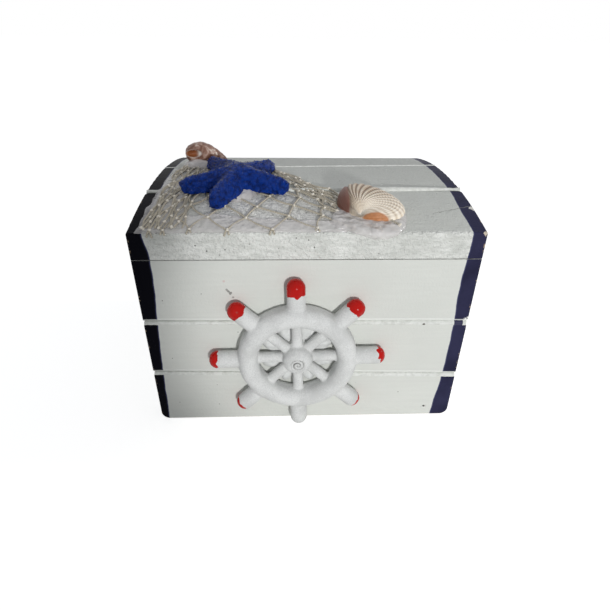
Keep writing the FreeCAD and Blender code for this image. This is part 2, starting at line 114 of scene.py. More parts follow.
def setCurve(node, points, run, scale):
    # a measured edge: places along the run, each with its width, both brought to 0 to 1
    line = node.mapping.curves[0]
    while len(line.points) < len(points):
        line.points.new(0.5, 0.5)
    for point, (way, width) in zip(line.points, points):
        point.location = (way / run, width / scale)
    node.mapping.update()


def newMesh(name, points, edges, faces):
    mesh = bpy.data.meshes.new(name)
    mesh.from_pydata(points, edges, faces)
    return mesh


def ringFaces(rows, around):
    # quads between rows of points, each row a closed ring
    faces = []
    for row in range(0, (rows - 1) * around, around):
        for step in range(around):
            after = (step + 1) % around
            faces.append((row + step, row + after, row + around + after, row + around + step))
    return faces


def discFaces(rings, around):
    # rings about point 0, which a fan closes
    faces = [tuple(corner + 1 for corner in face) for face in ringFaces(rings, around)]
    return faces + [(0, 1 + (step + 1) % around, 1 + step) for step in range(around)]


def newObject(name, data):
    obj = bpy.data.objects.new(name, data)
    bpy.context.scene.collection.objects.link(obj)
    return obj


def settle(obj):
    # keeps what the modifiers made as a plain mesh, and leaves no modifier
    graph = bpy.context.evaluated_depsgraph_get()
    mesh = bpy.data.meshes.new_from_object(obj.evaluated_get(graph))
    obj.modifiers.clear()
    obj.data = mesh


def dress(obj, material):
    obj.data.materials.clear()
    obj.data.materials.append(material)


def makePiece(obj, material, body, slot, *standsFor):
    dress(obj, material)
    obj.data.polygons.foreach_set("use_smooth", [True] * len(obj.data.polygons))
    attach(obj, body)
    if standsFor:
        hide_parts(*standsFor)


def evenSkin(obj, voxel, rounds):
    # one even mesh over the whole piece, with softened junctions
    skin = obj.modifiers.new("skin", "REMESH")
    skin.mode = "VOXEL"
    skin.voxel_size = voxel * mm
    soften = obj.modifiers.new("soften", "SMOOTH")
    soften.factor = 0.5
    soften.iterations = rounds
    settle(obj)


def castCopy(node, name, voxel, rounds):
    # a CAD solid's skin to work on
    copy = newObject(name, cadNodes[node].data.copy())
    copy.modifiers.new("weld", "WELD").merge_threshold = 1e-6
    evenSkin(copy, voxel, rounds)
    return copy


def newTree(name, sizes):
    tree = bpy.data.node_groups.new(name, "GeometryNodeTree")
    tree.interface.new_socket("Geometry", in_out="INPUT", socket_type="NodeSocketGeometry")
    for label, kind in sizes:
        tree.interface.new_socket(label, in_out="INPUT", socket_type="NodeSocket" + kind)
    tree.interface.new_socket("Geometry", in_out="OUTPUT", socket_type="NodeSocketGeometry")
    add = partial(addNode, tree)
    return tree, add, add("NodeGroupInput").outputs


def growTree(obj, tree, values):
    # gives the tree its sizes by socket identifier, then keeps the plain result
    modifier = obj.modifiers.new("grow", "NODES")
    modifier.node_group = tree
    for item in tree.interface.items_tree:
        if item.in_out == "INPUT" and item.name in values:
            modifier[item.identifier] = values[item.name]
    settle(obj)


def endTree(add, geometry, finish):
    real = add("GeometryNodeRealizeInstances", {0: geometry})
    done = add("GeometryNodeSetMaterial", {0: real, "Material": finish})
    add("NodeGroupOutput", {0: done})


def addFloat(mesh, name, values):
    values = np.asarray(values, dtype=np.float32).ravel()
    mesh.attributes.new(name, "FLOAT", "POINT").data.foreach_set("value", values)


def lidPoint(x, back, level):
    # a place on the lid: back is the way from the front arris, and below zero it hangs down the rail
    if back < 0:
        return Vector((x, -chest["halfDepth"] - level, chest["railTop"] + back + min(level, 0.4))) * mm
    y = back - chest["halfDepth"]
    lift = 1 + level / chest["barrelRadius"]
    return Vector((x, y * lift, chest["barrelZ"] + math.sqrt(chest["barrelRadius"] ** 2 - y * y) * lift)) * mm


# Camera at the photograph's angle
camera = {
    "place": (-6.55, -175.55, 130.93),
    "pitch": 31.589,
    "yaw": 2.436,
    "roll": 0.8,
    "focal": 464.23,
    "image": 610,
    "sensor": 36.0,
    "clip": (0.01, 20.0),
}


def placeCamera():
    pitch, yaw, roll = (math.radians(camera[key]) for key in ("pitch", "yaw", "roll"))
    ahead = Vector((math.sin(yaw) * math.cos(pitch), math.cos(yaw) * math.cos(pitch), -math.sin(pitch)))
    right = Vector((math.cos(yaw), -math.sin(yaw), 0))
    up = right.cross(ahead)
    side = right * math.cos(roll) + up * math.sin(roll)
    top = up * math.cos(roll) - right * math.sin(roll)
    data = bpy.data.cameras.new("photoCamera")
    data.sensor_width = camera["sensor"]
    data.lens = camera["focal"] / camera["image"] * camera["sensor"]
    data.clip_start, data.clip_end = camera["clip"]
    obj = newObject("photoCamera", data)
    turn = Matrix((side, top, -ahead)).transposed().to_4x4()
    obj.matrix_world = Matrix.Translation(Vector(camera["place"]) * mm) @ turn
    bpy.context.scene.camera = obj


placeCamera()
print("camera placed")

# Light: a soft-edged key from the front right, a small lamp that grazes the lid, and pale surroundings
studio = {
    "key": {
        "place": (0.09, -0.50, 0.15), "aim": (0.038, -0.045, 0.045),
        "radius": 0.011, "watts": 5.35, "cone": 22.6, "softEdge": 0.5,
    },
    "side": {"place": (0.55, 0.05, 0.36), "aim": (0.0, -0.01, 0.08), "size": 0.06, "watts": 0.75},
    "surroundings": 0.41,
    "sky": "#f4f6fb",
    "backdrop": "#ffffff",
    "floor": "#e4e4e2",
    "floorGlow": 0.72,
    "floorReach": 4,
}


def hangLamp(name, data):
    setting = studio[name]
    data.energy = setting["watts"]
    place = Vector(setting["place"])
    aim = (Vector(setting["aim"]) - place).to_track_quat("-Z", "Y")
    newObject(name, data).matrix_world = Matrix.Translation(place) @ aim.to_matrix().to_4x4()


def showsBackdrop(add):
    # 1 for the rays that see the white backdrop itself: from the eye, off gloss and through glass
    path = add("ShaderNodeLightPath").outputs
    clear = add("ShaderNodeMath", {
        0: path["Is Camera Ray"], 1: path["Is Transmission Ray"],
    }, operation="MAXIMUM")
    return add("ShaderNodeMath", {0: clear, 1: path["Is Glossy Ray"]}, operation="MAXIMUM")


def lightScene():
    key = bpy.data.lights.new("key", "SPOT")
    key.shadow_soft_size = studio["key"]["radius"]
    key.spot_size = math.radians(studio["key"]["cone"])
    key.spot_blend = studio["key"]["softEdge"]
    hangLamp("key", key)
    side = bpy.data.lights.new("side", "AREA")
    side.size = studio["side"]["size"]
    hangLamp("side", side)
    world = bpy.data.worlds.new("surroundings")
    bpy.context.scene.world = world
    add = clearNodes(world)
    glow = add("ShaderNodeBackground", {"Color": studio["sky"], "Strength": studio["surroundings"]})
    white = add("ShaderNodeBackground", {"Color": studio["backdrop"], "Strength": 1.0})
    mixed = add("ShaderNodeMixShader", {0: showsBackdrop(add), 1: glow, 2: white})
    add("ShaderNodeOutputWorld", {"Surface": mixed})


def layFloor():
    reach = studio["floorReach"]
    corners = [(-reach, -reach, 0), (reach, -reach, 0), (reach, reach, 0), (-reach, reach, 0)]
    floor = newObject("floor", newMesh("floor", corners, [], [(0, 1, 2, 3)]))
    material = bpy.data.materials.new("paleTable")
    add = clearNodes(material)
    matt = add("ShaderNodeBsdfDiffuse", {"Color": studio["floor"]})
    seen = add("ShaderNodeMath", {0: showsBackdrop(add), 1: studio["floorGlow"]}, operation="MULTIPLY")
    glow = add("ShaderNodeEmission", {"Color": studio["backdrop"], "Strength": seen})
    both = add("ShaderNodeAddShader", {0: matt, 1: glow})
    add("ShaderNodeOutputMaterial", {"Surface": both})
    dress(floor, material)


lightScene()
layFloor()
bpy.context.scene.view_settings.view_transform = "Standard"
print("light and floor ready")

# Brush-painted craft wood: chalky off-white with hand-painted navy bands along the ends.
# The eye sees soft sheen, a little grain and saw texture under the paint, and bare pine inside.
paint = {
    "white": "#d9dbd5",
    "whiteWorn": "#d4d6d0",
    "navy": "#08080f",
    # the paler navy of the right-hand bands is a painted sheen
    "navySheen": "#32324c",
    "navyThin": "#484a6c",
    "pine": "#d2b489",
    "pineDark": "#b48d5d",
    "speck": "#4c4a45",
    # the painted shade colour for the joints and the stipple's pits
    "creviceShade": "#8d8c85",
    "chip": "#b9a48b",
    # band width at the way up the front and back over the lid
    "leftBand": [(0, 2.9), (21, 3.6), (43, 4.8), (67, 6.0), (76, 4.8), (105, 4.7), (150, 4.1), (180, 4.2)],
    "rightBand": [
        (0, 6.9), (8, 6.3), (17, 5.35), (43, 4.85), (55, 5.45), (67, 4.95), (76, 4.6), (92, 4.9), (105, 4.3),
        (136, 4.4), (165, 3.6),
    ],
    # chips, knocks and pin holes: where, how wide, what shows
    "marks": [
        {"at": (55.0, -30.4, 78.4), "reach": 1.5, "colour": "#e4e1da"},
        {"at": (54.4, -44.8, 75.7), "reach": 0.8, "colour": "#cbbfae"},
        {"at": (55.0, -45.0, 43.4), "reach": 1.7, "colour": "#f4f4f0"},
        # a dark spot of painted shade for the hole at the end of the upper front joint
        {"at": (39.9, -44.6, 42.6), "reach": 0.55, "colour": "#5b4c38"},
        {"at": (-26.3, -45.0, 56.6), "reach": 0.5, "colour": "#9b9c97"},
        {"at": (-25.8, -45.0, 56.0), "reach": 0.55, "colour": "#93948f"},
        {"at": (-25.2, -45.0, 55.3), "reach": 0.5, "colour": "#93948f"},
        {"at": (-24.4, -45.0, 53.8), "reach": 0.35, "colour": "#a3a49f"},
        {"at": (-26.9, -45.0, 59.6), "reach": 0.45, "colour": "#d2c4bf"},
    ],
    # the split in the front slat, and the coat of white size under the net
    "crack": {"from": (39.4, -34.2), "to": (55.0, -28.6), "width": 0.16, "colour": "#8b8a85"},
    "size": {
        "middle": (-9.0, -29.0, 78.5), "shrink": (0.031, 0.062, 0.0), "cell": 1.5, "height": 1.7,
        # the fold colour is the painted shade in the coat's folds
        "colour": "#fbfbf7", "foldShade": "#cdcdc6",
    },
    "endBand": 5.2,
    "wander": 0.3,
    "bandRun": 200.0,
    "bandScale": 10.0,
}
# what the planks have and the other boards start from: grain is how closely it lies along x, y and z,
# and face marks the two ways in which the board's front lies
plankLook = {
    "white": paint["white"],
    "pooled": "#e9ebe6",
    # how strongly the painted shade darkens the joints
    "creviceShade": 0.3,
    "groove": "z",
    "grainHeight": 0.05,
    "stipple": 0.9,
    "stippleHeight": 0.14,
    # how strongly painted shade darkens the stipple's pits
    "pits": 0.0,
    "specks": 0.06,
    "speckSize": 0.12,
}
woodLooks = {
    "wall": {**plankLook, "grain": (0.06, 0.8, 0.8), "face": (1, 0, 1), "along": "x"},
    "end": {**plankLook, "grain": (0.8, 0.06, 0.8), "face": (0, 1, 1), "along": "y"},
    "rail": {
        **plankLook, "grain": (0.3, 0.9, 0.9), "face": (1, 0, 1), "along": "x", "groove": None,
        "white": "#f8f9f4", "grainHeight": 0.1, "stipple": 1.1, "stippleHeight": 1.35, "pits": 0.08,
        "specks": 0.3, "speckSize": 0.17,
    },
    "slat": {
        **plankLook, "grain": (0.16, 0.7, 0.7), "face": (1, 1, 0), "along": "x", "groove": "y",
        "pooled": "#f2f3ee", "grainHeight": 0.3, "stipple": 0.7, "stippleHeight": 0.35, "pits": 0.1,
        "specks": 0.03,
    },
    "arch": {
        **plankLook, "grain": (0.8, 0.06, 0.8), "face": (0, 1, 1), "along": "y", "groove": None,
        "grainHeight": 0.1, "stipple": 1.1, "stippleHeight": 0.3, "specks": 0.08,
    },
}


def pineGrain(add, place, along):
    # growth rings cut lengthwise: streaks about 3 mm apart, drawn out along the board
    stretch = {"x": (0.02, 0.33, 0.33), "y": (0.33, 0.02, 0.33)}[along]
    drawn = add("ShaderNodeVectorMath", {0: place, 1: stretch}, operation="MULTIPLY")
    rings = add("ShaderNodeTexNoise", {
        "Vector": drawn, "Scale": 1.0, "Detail": 5.0, "Roughness": 0.6, "Distortion": 0.6,
    })
    ramp = add("ShaderNodeValToRGB", {"Fac": rings})
    setRamp(ramp, [(0.3, paint["pineDark"]), (0.62, paint["pine"])])
    return ramp, rings


def hairCrack(add, place, colour, ragged):
    # one fine split that runs in from the right end of the front slat
    crack = paint["crack"]
    start, finish = Vector(crack["from"]), Vector(crack["to"])
    way = (finish - start).normalized()
    moved = add("ShaderNodeVectorMath", {0: place, 1: (-start.x, -start.y, 0)}, operation="ADD")
    along = add("ShaderNodeVectorMath", {0: moved, 1: (way.x, way.y, 0)}, operation="DOT_PRODUCT")
    aside = add("ShaderNodeVectorMath", {0: moved, 1: (-way.y, way.x, 0)}, operation="DOT_PRODUCT")
    wavy = add("ShaderNodeMath", {0: ragged, 1: 1.6, 2: -0.8}, operation="MULTIPLY_ADD")
    off = add("ShaderNodeMath", {0: aside, 1: wavy}, operation="ADD")
    far = add("ShaderNodeMath", {0: off}, operation="ABSOLUTE")
    line = add("ShaderNodeMapRange", {0: far, 1: crack["width"], 2: crack["width"] * 0.5})
    begun = add("ShaderNodeMapRange", {0: along, 1: 0.0, 2: 3.0})
    both = add("ShaderNodeMath", {0: line, 1: begun}, operation="MULTIPLY")
    return add("ShaderNodeMix", {0: both, 6: colour, 7: crack["colour"]}, data_type="RGBA")


def paintedBand(add, place, at, out):
    # how deep inside the navy band a place lies, and how far from the arris that the band follows
    halfDepth = chest["halfDepth"]
    run = add("ShaderNodeMath", {0: at[2], 1: at[1]}, operation="ADD")
    share = add("ShaderNodeMapRange", {0: run, 1: -halfDepth, 2: paint["bandRun"] - halfDepth})
    left = add("ShaderNodeFloatCurve", {"Value": share})
    right = add("ShaderNodeFloatCurve", {"Value": share})
    setCurve(left, paint["leftBand"], paint["bandRun"], paint["bandScale"])
    setCurve(right, paint["rightBand"], paint["bandRun"], paint["bandScale"])
    onRight = add("ShaderNodeMath", {0: at[0], 1: 0.0}, operation="GREATER_THAN")
    sideEdge = add("ShaderNodeMix", {0: onRight, 2: left, 3: right})
    edge = add("ShaderNodeMath", {0: sideEdge, 1: paint["bandScale"]}, operation="MULTIPLY")
    fromEnd = add("ShaderNodeMath", {0: at[0]}, operation="ABSOLUTE")
    endWay = add("ShaderNodeMath", {0: chest["halfWidth"], 1: fromEnd}, operation="SUBTRACT")
    inFront = add("ShaderNodeMath", {0: edge, 1: endWay}, operation="SUBTRACT")

    # on the ends the band follows the front and back corners and the arch
    fromMiddle = add("ShaderNodeMath", {0: at[1]}, operation="ABSOLUTE")
    cornerWay = add("ShaderNodeMath", {0: halfDepth, 1: fromMiddle}, operation="SUBTRACT")
    across = add("ShaderNodeMath", {0: at[1], 1: at[1]}, operation="MULTIPLY")
    fall = -0.5 / chest["barrelRadius"]
    arch = add("ShaderNodeMath", {0: across, 1: fall, 2: chest["crown"]}, operation="MULTIPLY_ADD")
    archWay = add("ShaderNodeMath", {0: arch, 1: at[2]}, operation="SUBTRACT")
    nearest = add("ShaderNodeMath", {0: cornerWay, 1: archWay}, operation="MINIMUM")
    inEnd = add("ShaderNodeMath", {0: paint["endBand"], 1: nearest}, operation="SUBTRACT")
    endOn = add("ShaderNodeMath", {0: out[0]}, operation="ABSOLUTE")
    isEnd = add("ShaderNodeMath", {0: endOn, 1: 0.7}, operation="GREATER_THAN")
    inside = add("ShaderNodeMix", {0: isEnd, 2: inFront, 3: inEnd})
    toArris = add("ShaderNodeMix", {0: isEnd, 2: endWay, 3: nearest})

    # the edge wanders as a hand-held brush does
    sway = add("ShaderNodeTexNoise", {"Vector": place, "Scale": 0.22, "Detail": 3.0, "Roughness": 0.55})
    reach = paint["wander"]
    wander = add("ShaderNodeMath", {0: sway, 1: 2 * reach, 2: -reach}, operation="MULTIPLY_ADD")
    wandered = add("ShaderNodeMath", {0: inside, 1: wander}, operation="ADD")
    return wandered, toArris, onRight


def grooveTilt(add, at, out, groove):
    # how far a face turns away from the flat of its board
    if groove == "z":
        return add("ShaderNodeMath", {0: out[2]}, operation="ABSOLUTE")
    bow = -1 / chest["barrelRadius"]
    lean = add("ShaderNodeMath", {0: at[1], 1: bow, 2: out[1]}, operation="MULTIPLY_ADD")
    return add("ShaderNodeMath", {0: lean}, operation="ABSOLUTE")


def pinSpecks(add, place, at, look, white, stipple):
    # painted shade in the stipple's pits, and pin specks where the saw left pores: a few millimetres apart,
    # and most at the left
    onFace = add("ShaderNodeVectorMath", {0: place, 1: look["face"]}, operation="MULTIPLY")
    cells = add("ShaderNodeTexVoronoi", {"Vector": onFace, "Scale": 0.55})
    pick = add("ShaderNodeSeparateColor", {0: cells.outputs["Color"]})
    most, least = 1 - look["specks"], 1 - 0.2 * look["specks"]
    leftward = add("ShaderNodeMapRange", {0: at[0], 1: -45.0, 2: 15.0, 3: most, 4: least})
    rare = add("ShaderNodeMath", {0: pick.outputs[0], 1: leftward}, operation="GREATER_THAN")
    dot = add("ShaderNodeMapRange", {0: cells.outputs["Distance"], 1: look["speckSize"], 2: 0.07})
    speck = add("ShaderNodeMath", {0: dot, 1: rare}, operation="MULTIPLY")
    # the stipple's hollows are darkened as painted shade
    pits = add("ShaderNodeMapRange", {0: stipple, 1: 0.5, 2: 0.36, 4: look["pits"]})
    pitShaded = add("ShaderNodeMix", {0: pits, 6: white, 7: paint["creviceShade"]}, data_type="RGBA")
    return add("ShaderNodeMix", {0: speck, 6: pitShaded, 7: paint["speck"]}, data_type="RGBA")


def navyPaint(add, inside, onRight, mottle):
    # nearly black where thick, violet where its edge runs out, and paler in patches on the right as a painted
    # sheen
    thick = add("ShaderNodeMapRange", {0: inside, 1: 0.05, 2: 0.5})
    patchySheen = add("ShaderNodeMapRange", {0: mottle, 1: 0.35, 2: 0.6, 3: 0.55, 4: 1.0})
    pale = add("ShaderNodeMath", {0: patchySheen, 1: onRight}, operation="MULTIPLY")
    full = add("ShaderNodeMix", {0: pale, 6: paint["navy"], 7: paint["navySheen"]}, data_type="RGBA")
    return add("ShaderNodeMix", {0: thick, 6: paint["navyThin"], 7: full}, data_type="RGBA")


def chipsAndMarks(add, place, colour, toArris, ragged):
    # chips along the end arrises show primer and wood, and each knock and pin hole has its own place
    flake = add("ShaderNodeTexNoise", {"Vector": place, "Scale": 0.8, "Detail": 3.0})
    flaked = add("ShaderNodeMapRange", {0: flake, 1: 0.6, 2: 0.64})
    rim = add("ShaderNodeMapRange", {0: toArris, 1: 0.75, 2: 0.35})
    chipped = add("ShaderNodeMath", {0: flaked, 1: rim}, operation="MULTIPLY")
    worn = add("ShaderNodeMix", {0: chipped, 6: colour, 7: paint["chip"]}, data_type="RGBA")
    for mark in paint["marks"]:
        away = add("ShaderNodeVectorMath", {0: place, 1: mark["at"]}, operation="DISTANCE")
        fray, edge = -2.4 * mark["reach"], -0.2 * mark["reach"]
        torn = add("ShaderNodeMath", {0: ragged, 1: fray, 2: away}, operation="MULTIPLY_ADD")
        shows = add("ShaderNodeMapRange", {0: torn, 1: edge, 2: edge - 0.12})
        worn = add("ShaderNodeMix", {0: shows, 6: worn, 7: mark["colour"]}, data_type="RGBA")
    return worn


def crinkledSize(add, place, colour, ragged):
    # under the net the board carries a crinkled coat of white size, with painted shade in its folds
    size = paint["size"]
    moved = add("ShaderNodeVectorMath", {0: place, 1: size["middle"]}, operation="SUBTRACT")
    shrunk = add("ShaderNodeVectorMath", {0: moved, 1: size["shrink"]}, operation="MULTIPLY")
    far = add("ShaderNodeVectorMath", {0: shrunk}, operation="LENGTH")
    frayed = add("ShaderNodeMath", {0: ragged, 1: 0.5, 2: far}, operation="MULTIPLY_ADD")
    sized = add("ShaderNodeMapRange", {0: frayed, 1: 1.3, 2: 1.0})
    crinkle = add("ShaderNodeTexNoise", {
        "Vector": place, "Scale": 1 / size["cell"], "Detail": 3.0, "Roughness": 0.6, "Distortion": 1.2,
    })
    foldShadeShare = add("ShaderNodeMapRange", {0: crinkle, 1: 0.47, 2: 0.36, 4: 0.55})
    foldShaded = add("ShaderNodeMix", {0: foldShadeShare, 6: size["colour"], 7: size["foldShade"]}, data_type="RGBA")
    coated = add("ShaderNodeMix", {0: sized, 6: colour, 7: foldShaded}, data_type="RGBA")
    return coated, sized, crinkle


def neverPainted(add, place, facing, at, out):
    # 1 on the faces that look inward or down
    middle = chest["seam"] / 2
    flat = add("ShaderNodeVectorMath", {0: place, 1: (1, 1, 0)}, operation="MULTIPLY")
    inward = add("ShaderNodeVectorMath", {0: facing, 1: flat}, operation="DOT_PRODUCT")
    turnedIn = add("ShaderNodeMath", {0: inward, 1: -32.0}, operation="LESS_THAN")
    turnedDown = add("ShaderNodeMath", {0: out[2], 1: -0.75}, operation="LESS_THAN")
    midHeight = add("ShaderNodeMath", {0: at[2], 1: middle + 1}, operation="SUBTRACT")
    offMiddle = add("ShaderNodeMath", {0: midHeight}, operation="ABSOLUTE")
    hidden = add("ShaderNodeMath", {0: offMiddle, 1: middle + 0.7}, operation="GREATER_THAN")
    underside = add("ShaderNodeMath", {0: turnedDown, 1: hidden}, operation="MULTIPLY")
    return add("ShaderNodeMath", {0: turnedIn, 1: underside}, operation="MAXIMUM")


def paintedWood(name, look):
    material, add, shader, place = newMaterial(name)
    facing = add("ShaderNodeTexCoord").outputs["Normal"]
    at = add("ShaderNodeSeparateXYZ", {0: place}).outputs
    out = add("ShaderNodeSeparateXYZ", {0: facing}).outputs
    inside, toArris, onRight = paintedBand(add, place, at, out)
    covered = add("ShaderNodeMapRange", {0: inside, 1: -0.07, 2: 0.07})

    # white paint: broad brush mottling, rubbed thin on the grain
    mottle = add("ShaderNodeTexNoise", {"Vector": place, "Scale": 0.07, "Detail": 4.0})
    stretched = add("ShaderNodeVectorMath", {0: place, 1: look["grain"]}, operation="MULTIPLY")
    grain = add("ShaderNodeTexNoise", {"Vector": stretched, "Scale": 1.0, "Detail": 4.0, "Roughness": 0.6})
    thin = add("ShaderNodeMath", {0: mottle, 1: grain}, operation="MULTIPLY")
    share = add("ShaderNodeMapRange", {0: thin, 1: 0.15, 2: 0.42})
    white = add("ShaderNodeMix", {0: share, 6: paint["whiteWorn"], 7: look["white"]}, data_type="RGBA")
    if look["groove"]:
        # paint stands thick and whiter on the rounds, which also paints in the light they catch; painted
        # shade darkens the joints, and the navy brush doesn't reach in
        tilt = grooveTilt(add, at, out, look["groove"])
        sunk = add("ShaderNodeMapRange", {0: tilt, 1: 0.12, 2: 0.3})
        white = add("ShaderNodeMix", {0: sunk, 6: white, 7: look["pooled"]}, data_type="RGBA")
        # the faces turned deep into the joint take painted shade
        jointShade = add("ShaderNodeMapRange", {0: tilt, 1: 0.5, 2: 0.93, 4: look["creviceShade"]})
        white = add("ShaderNodeMix", {0: jointShade, 6: white, 7: paint["creviceShade"]}, data_type="RGBA")
        reached = add("ShaderNodeMapRange", {0: tilt, 1: 0.5, 2: 0.36})
        covered = add("ShaderNodeMath", {0: covered, 1: reached}, operation="MULTIPLY")

    stipple = add("ShaderNodeTexNoise", {
        "Vector": place, "Scale": 1 / look["stipple"], "Detail": 3.0, "Roughness": 0.6,
    })
    speckled = pinSpecks(add, place, at, look, white, stipple)
    navy = navyPaint(add, inside, onRight, mottle)
    painted = add("ShaderNodeMix", {0: covered, 6: speckled, 7: navy}, data_type="RGBA")
    ragged = add("ShaderNodeTexNoise", {"Vector": place, "Scale": 0.9, "Detail": 3.0})
    worn = chipsAndMarks(add, place, painted, toArris, ragged)

    firm = add("ShaderNodeMapRange", {0: covered, 3: 1.0, 4: 0.3})
    bump = add("ShaderNodeBump", {"Height": grain, "Distance": look["grainHeight"] * mm, "Strength": firm})
    bump = add("ShaderNodeBump", {
        "Height": stipple, "Distance": look["stippleHeight"] * mm, "Strength": firm, "Normal": bump,
    })
    if look["groove"] == "y":
        worn = hairCrack(add, place, worn, ragged)
        worn, sized, crinkle = crinkledSize(add, place, worn, ragged)
        bump = add("ShaderNodeBump", {
            "Height": crinkle, "Distance": paint["size"]["height"] * mm, "Strength": sized, "Normal": bump,
        })
    bare = neverPainted(add, place, facing, at, out)
    pine = pineGrain(add, place, look["along"])[0]
    colour = add("ShaderNodeMix", {0: bare, 6: worn, 7: pine}, data_type="RGBA")
    gloss = add("ShaderNodeMix", {0: covered, 2: 0.58, 3: 0.42})
    rough = add("ShaderNodeMix", {0: bare, 2: gloss, 3: 0.72})
    sheen = add("ShaderNodeMapRange", {0: covered, 3: 0.07, 4: 0.025})
    setInputs(shader, {
        "Base Color": colour, "Roughness": rough, "Normal": bump, "IOR": 1.45, "Specular IOR Level": sheen,
    })
    return material


def barePine():
    # planed softwood left raw: warm, dull, with streaky growth rings
    material, add, shader, place = newMaterial("barePine")
    colour, rings = pineGrain(add, place, "x")
    bump = add("ShaderNodeBump", {"Height": rings, "Distance": 0.1 * mm})
    setInputs(shader, {"Base Color": colour, "Roughness": 0.72, "Normal": bump, "IOR": 1.48})
    return material


def dressWood():
    made = {key: paintedWood("paintedPine_" + key, look) for key, look in woodLooks.items()}
    for name, obj in cadNodes.items():
        if "_plank_" in name:
            dress(obj, made["wall" if name.startswith(("front", "back")) else "end"])
        elif name.endswith(("_rail", "_slat", "_arch")):
            dress(obj, made[name.rsplit("_", 1)[1]])
    dress(cadNodes["base_board"], barePine())
    print("boards:", len(made), "painted finishes and bare pine")


dressWood()

# Thick paint that ran into the joints and dried there as a soft bead
jointPaint = {
    "step": 2.5,
    "ringStep": 0.45,
    "lump": 0.16,
    "lumpSize": 1.5,
    "end": 54.6,
    "white": "#dfe1dc",
    "shade": "#cfd1cb",
    # the upper front bead: where the navy band runs over it, and a dark spot painted as the shade in a hole
    # where the paint fell in
    "banded": {"ways": (50.3, 53.3), "height": 43.0, "half": 8.0},
    "hole": {"at": (39.8, -45.1, 42.5), "radius": 0.62, "colour": "#4d493f"},
    # height of the bead's middle at both ends, how far it stands out, and its radius along the way
    "walls": [
        {"ends": (22.15, 19.45), "proud": 0.2, "radius": [(-55, 0.74), (10, 0.8), (25, 0.98), (55, 0.98)]},
        {
            "ends": (43.7, 42.55), "proud": 0.2,
            "radius": [(-55, 0.74), (10, 0.85), (25, 1.02), (48, 1.0), (50, 1.25), (55, 1.25)],
        },
    ],
    # the same on the lid, with the way from the front and the level
    "lid": [
        {
            "ends": (27.2, 29.2), "level": 0.1,
            "radius": [(-55, 0.5), (-8, 0.75), (12, 1.1), (36, 1.05), (46, 0.7), (52, 0.55), (55, 0.75)],
        },
        {"ends": (55.4, 61.7), "level": -0.1, "radius": [(-55, 0.42), (10, 0.48), (55, 0.42)]},
    ],
}


def driedPaint():
    # thick acrylic: whiter and smoother than the brushed boards
    material, add, shader, place = newMaterial("driedAcrylicPaint")
    shade, white = jointPaint["shade"], jointPaint["white"]
    pits = add("ShaderNodeTexNoise", {"Vector": place, "Scale": 0.7, "Detail": 4.0})
    share = add("ShaderNodeMapRange", {0: pits, 1: 0.35, 2: 0.6})
    colour = add("ShaderNodeMix", {0: share, 6: shade, 7: white}, data_type="RGBA")

    # the navy band runs over the upper front bead, in the paler right-hand navy that carries the painted
    # sheen
    band, hole = jointPaint["banded"], jointPaint["hole"]
    at = add("ShaderNodeSeparateXYZ", {0: place}).outputs
    covered = add("ShaderNodeMath", {0: at[0], 1: band["ways"][0]}, operation="GREATER_THAN")
    ended = add("ShaderNodeMath", {0: at[0], 1: band["ways"][1]}, operation="LESS_THAN")
    upper = add("ShaderNodeMath", {0: at[2], 1: band["height"], 2: band["half"]}, operation="COMPARE")
    inFront = add("ShaderNodeMath", {0: at[1], 1: 0.0}, operation="LESS_THAN")
    for limit in (ended, upper, inFront):
        covered = add("ShaderNodeMath", {0: covered, 1: limit}, operation="MULTIPLY")
    banded = add("ShaderNodeMix", {0: covered, 6: colour, 7: paint["navySheen"]}, data_type="RGBA")
    # the hole is drawn as a dark spot of painted shade
    away = add("ShaderNodeVectorMath", {0: place, 1: hole["at"]}, operation="DISTANCE")
    sunk = add("ShaderNodeMapRange", {0: away, 1: hole["radius"], 2: 0.5 * hole["radius"]})
    holed = add("ShaderNodeMix", {0: sunk, 6: banded, 7: hole["colour"]}, data_type="RGBA")
    bump = add("ShaderNodeBump", {"Height": pits, "Distance": 0.12 * mm})
    setInputs(shader, {
        "Base Color": holed, "Roughness": 0.5, "Normal": bump, "IOR": 1.45, "Specular IOR Level": 0.2,
    })
    return material


def beadTree():
    tree, add, sizes = newTree("paintBead", [
        ("Ring step", "Float"), ("Lump", "Float"), ("Lump scale", "Float"), ("Finish", "Material"),
    ])
    line = add("GeometryNodeMeshToCurve", {0: sizes["Geometry"]})
    even = add("GeometryNodeResampleCurve", {0: line, "Length": sizes["Ring step"]}, mode="LENGTH")
    width = add("GeometryNodeInputNamedAttribute", {"Name": "beadRadius"}, data_type="FLOAT")
    ring = add("GeometryNodeCurvePrimitiveCircle", {"Resolution": 12, "Radius": 1.0})
    bead = add("GeometryNodeCurveToMesh", {
        "Curve": even, "Profile Curve": ring, "Scale": width, "Fill Caps": True,
    })
    lumps = add("ShaderNodeTexNoise", {"Scale": sizes["Lump scale"], "Detail": 2.0})
    swing = add("ShaderNodeMath", {0: lumps, 1: 2.0, 2: -1.0}, operation="MULTIPLY_ADD")
    rise = add("ShaderNodeMath", {0: swing, 1: sizes["Lump"]}, operation="MULTIPLY")
    out = add("GeometryNodeInputNormal")
    shift = add("ShaderNodeVectorMath", {0: out, "Scale": rise}, operation="SCALE")
    lumpy = add("GeometryNodeSetPosition", {0: bead, "Offset": shift})
    endTree(add, lumpy, sizes["Finish"])
    return tree


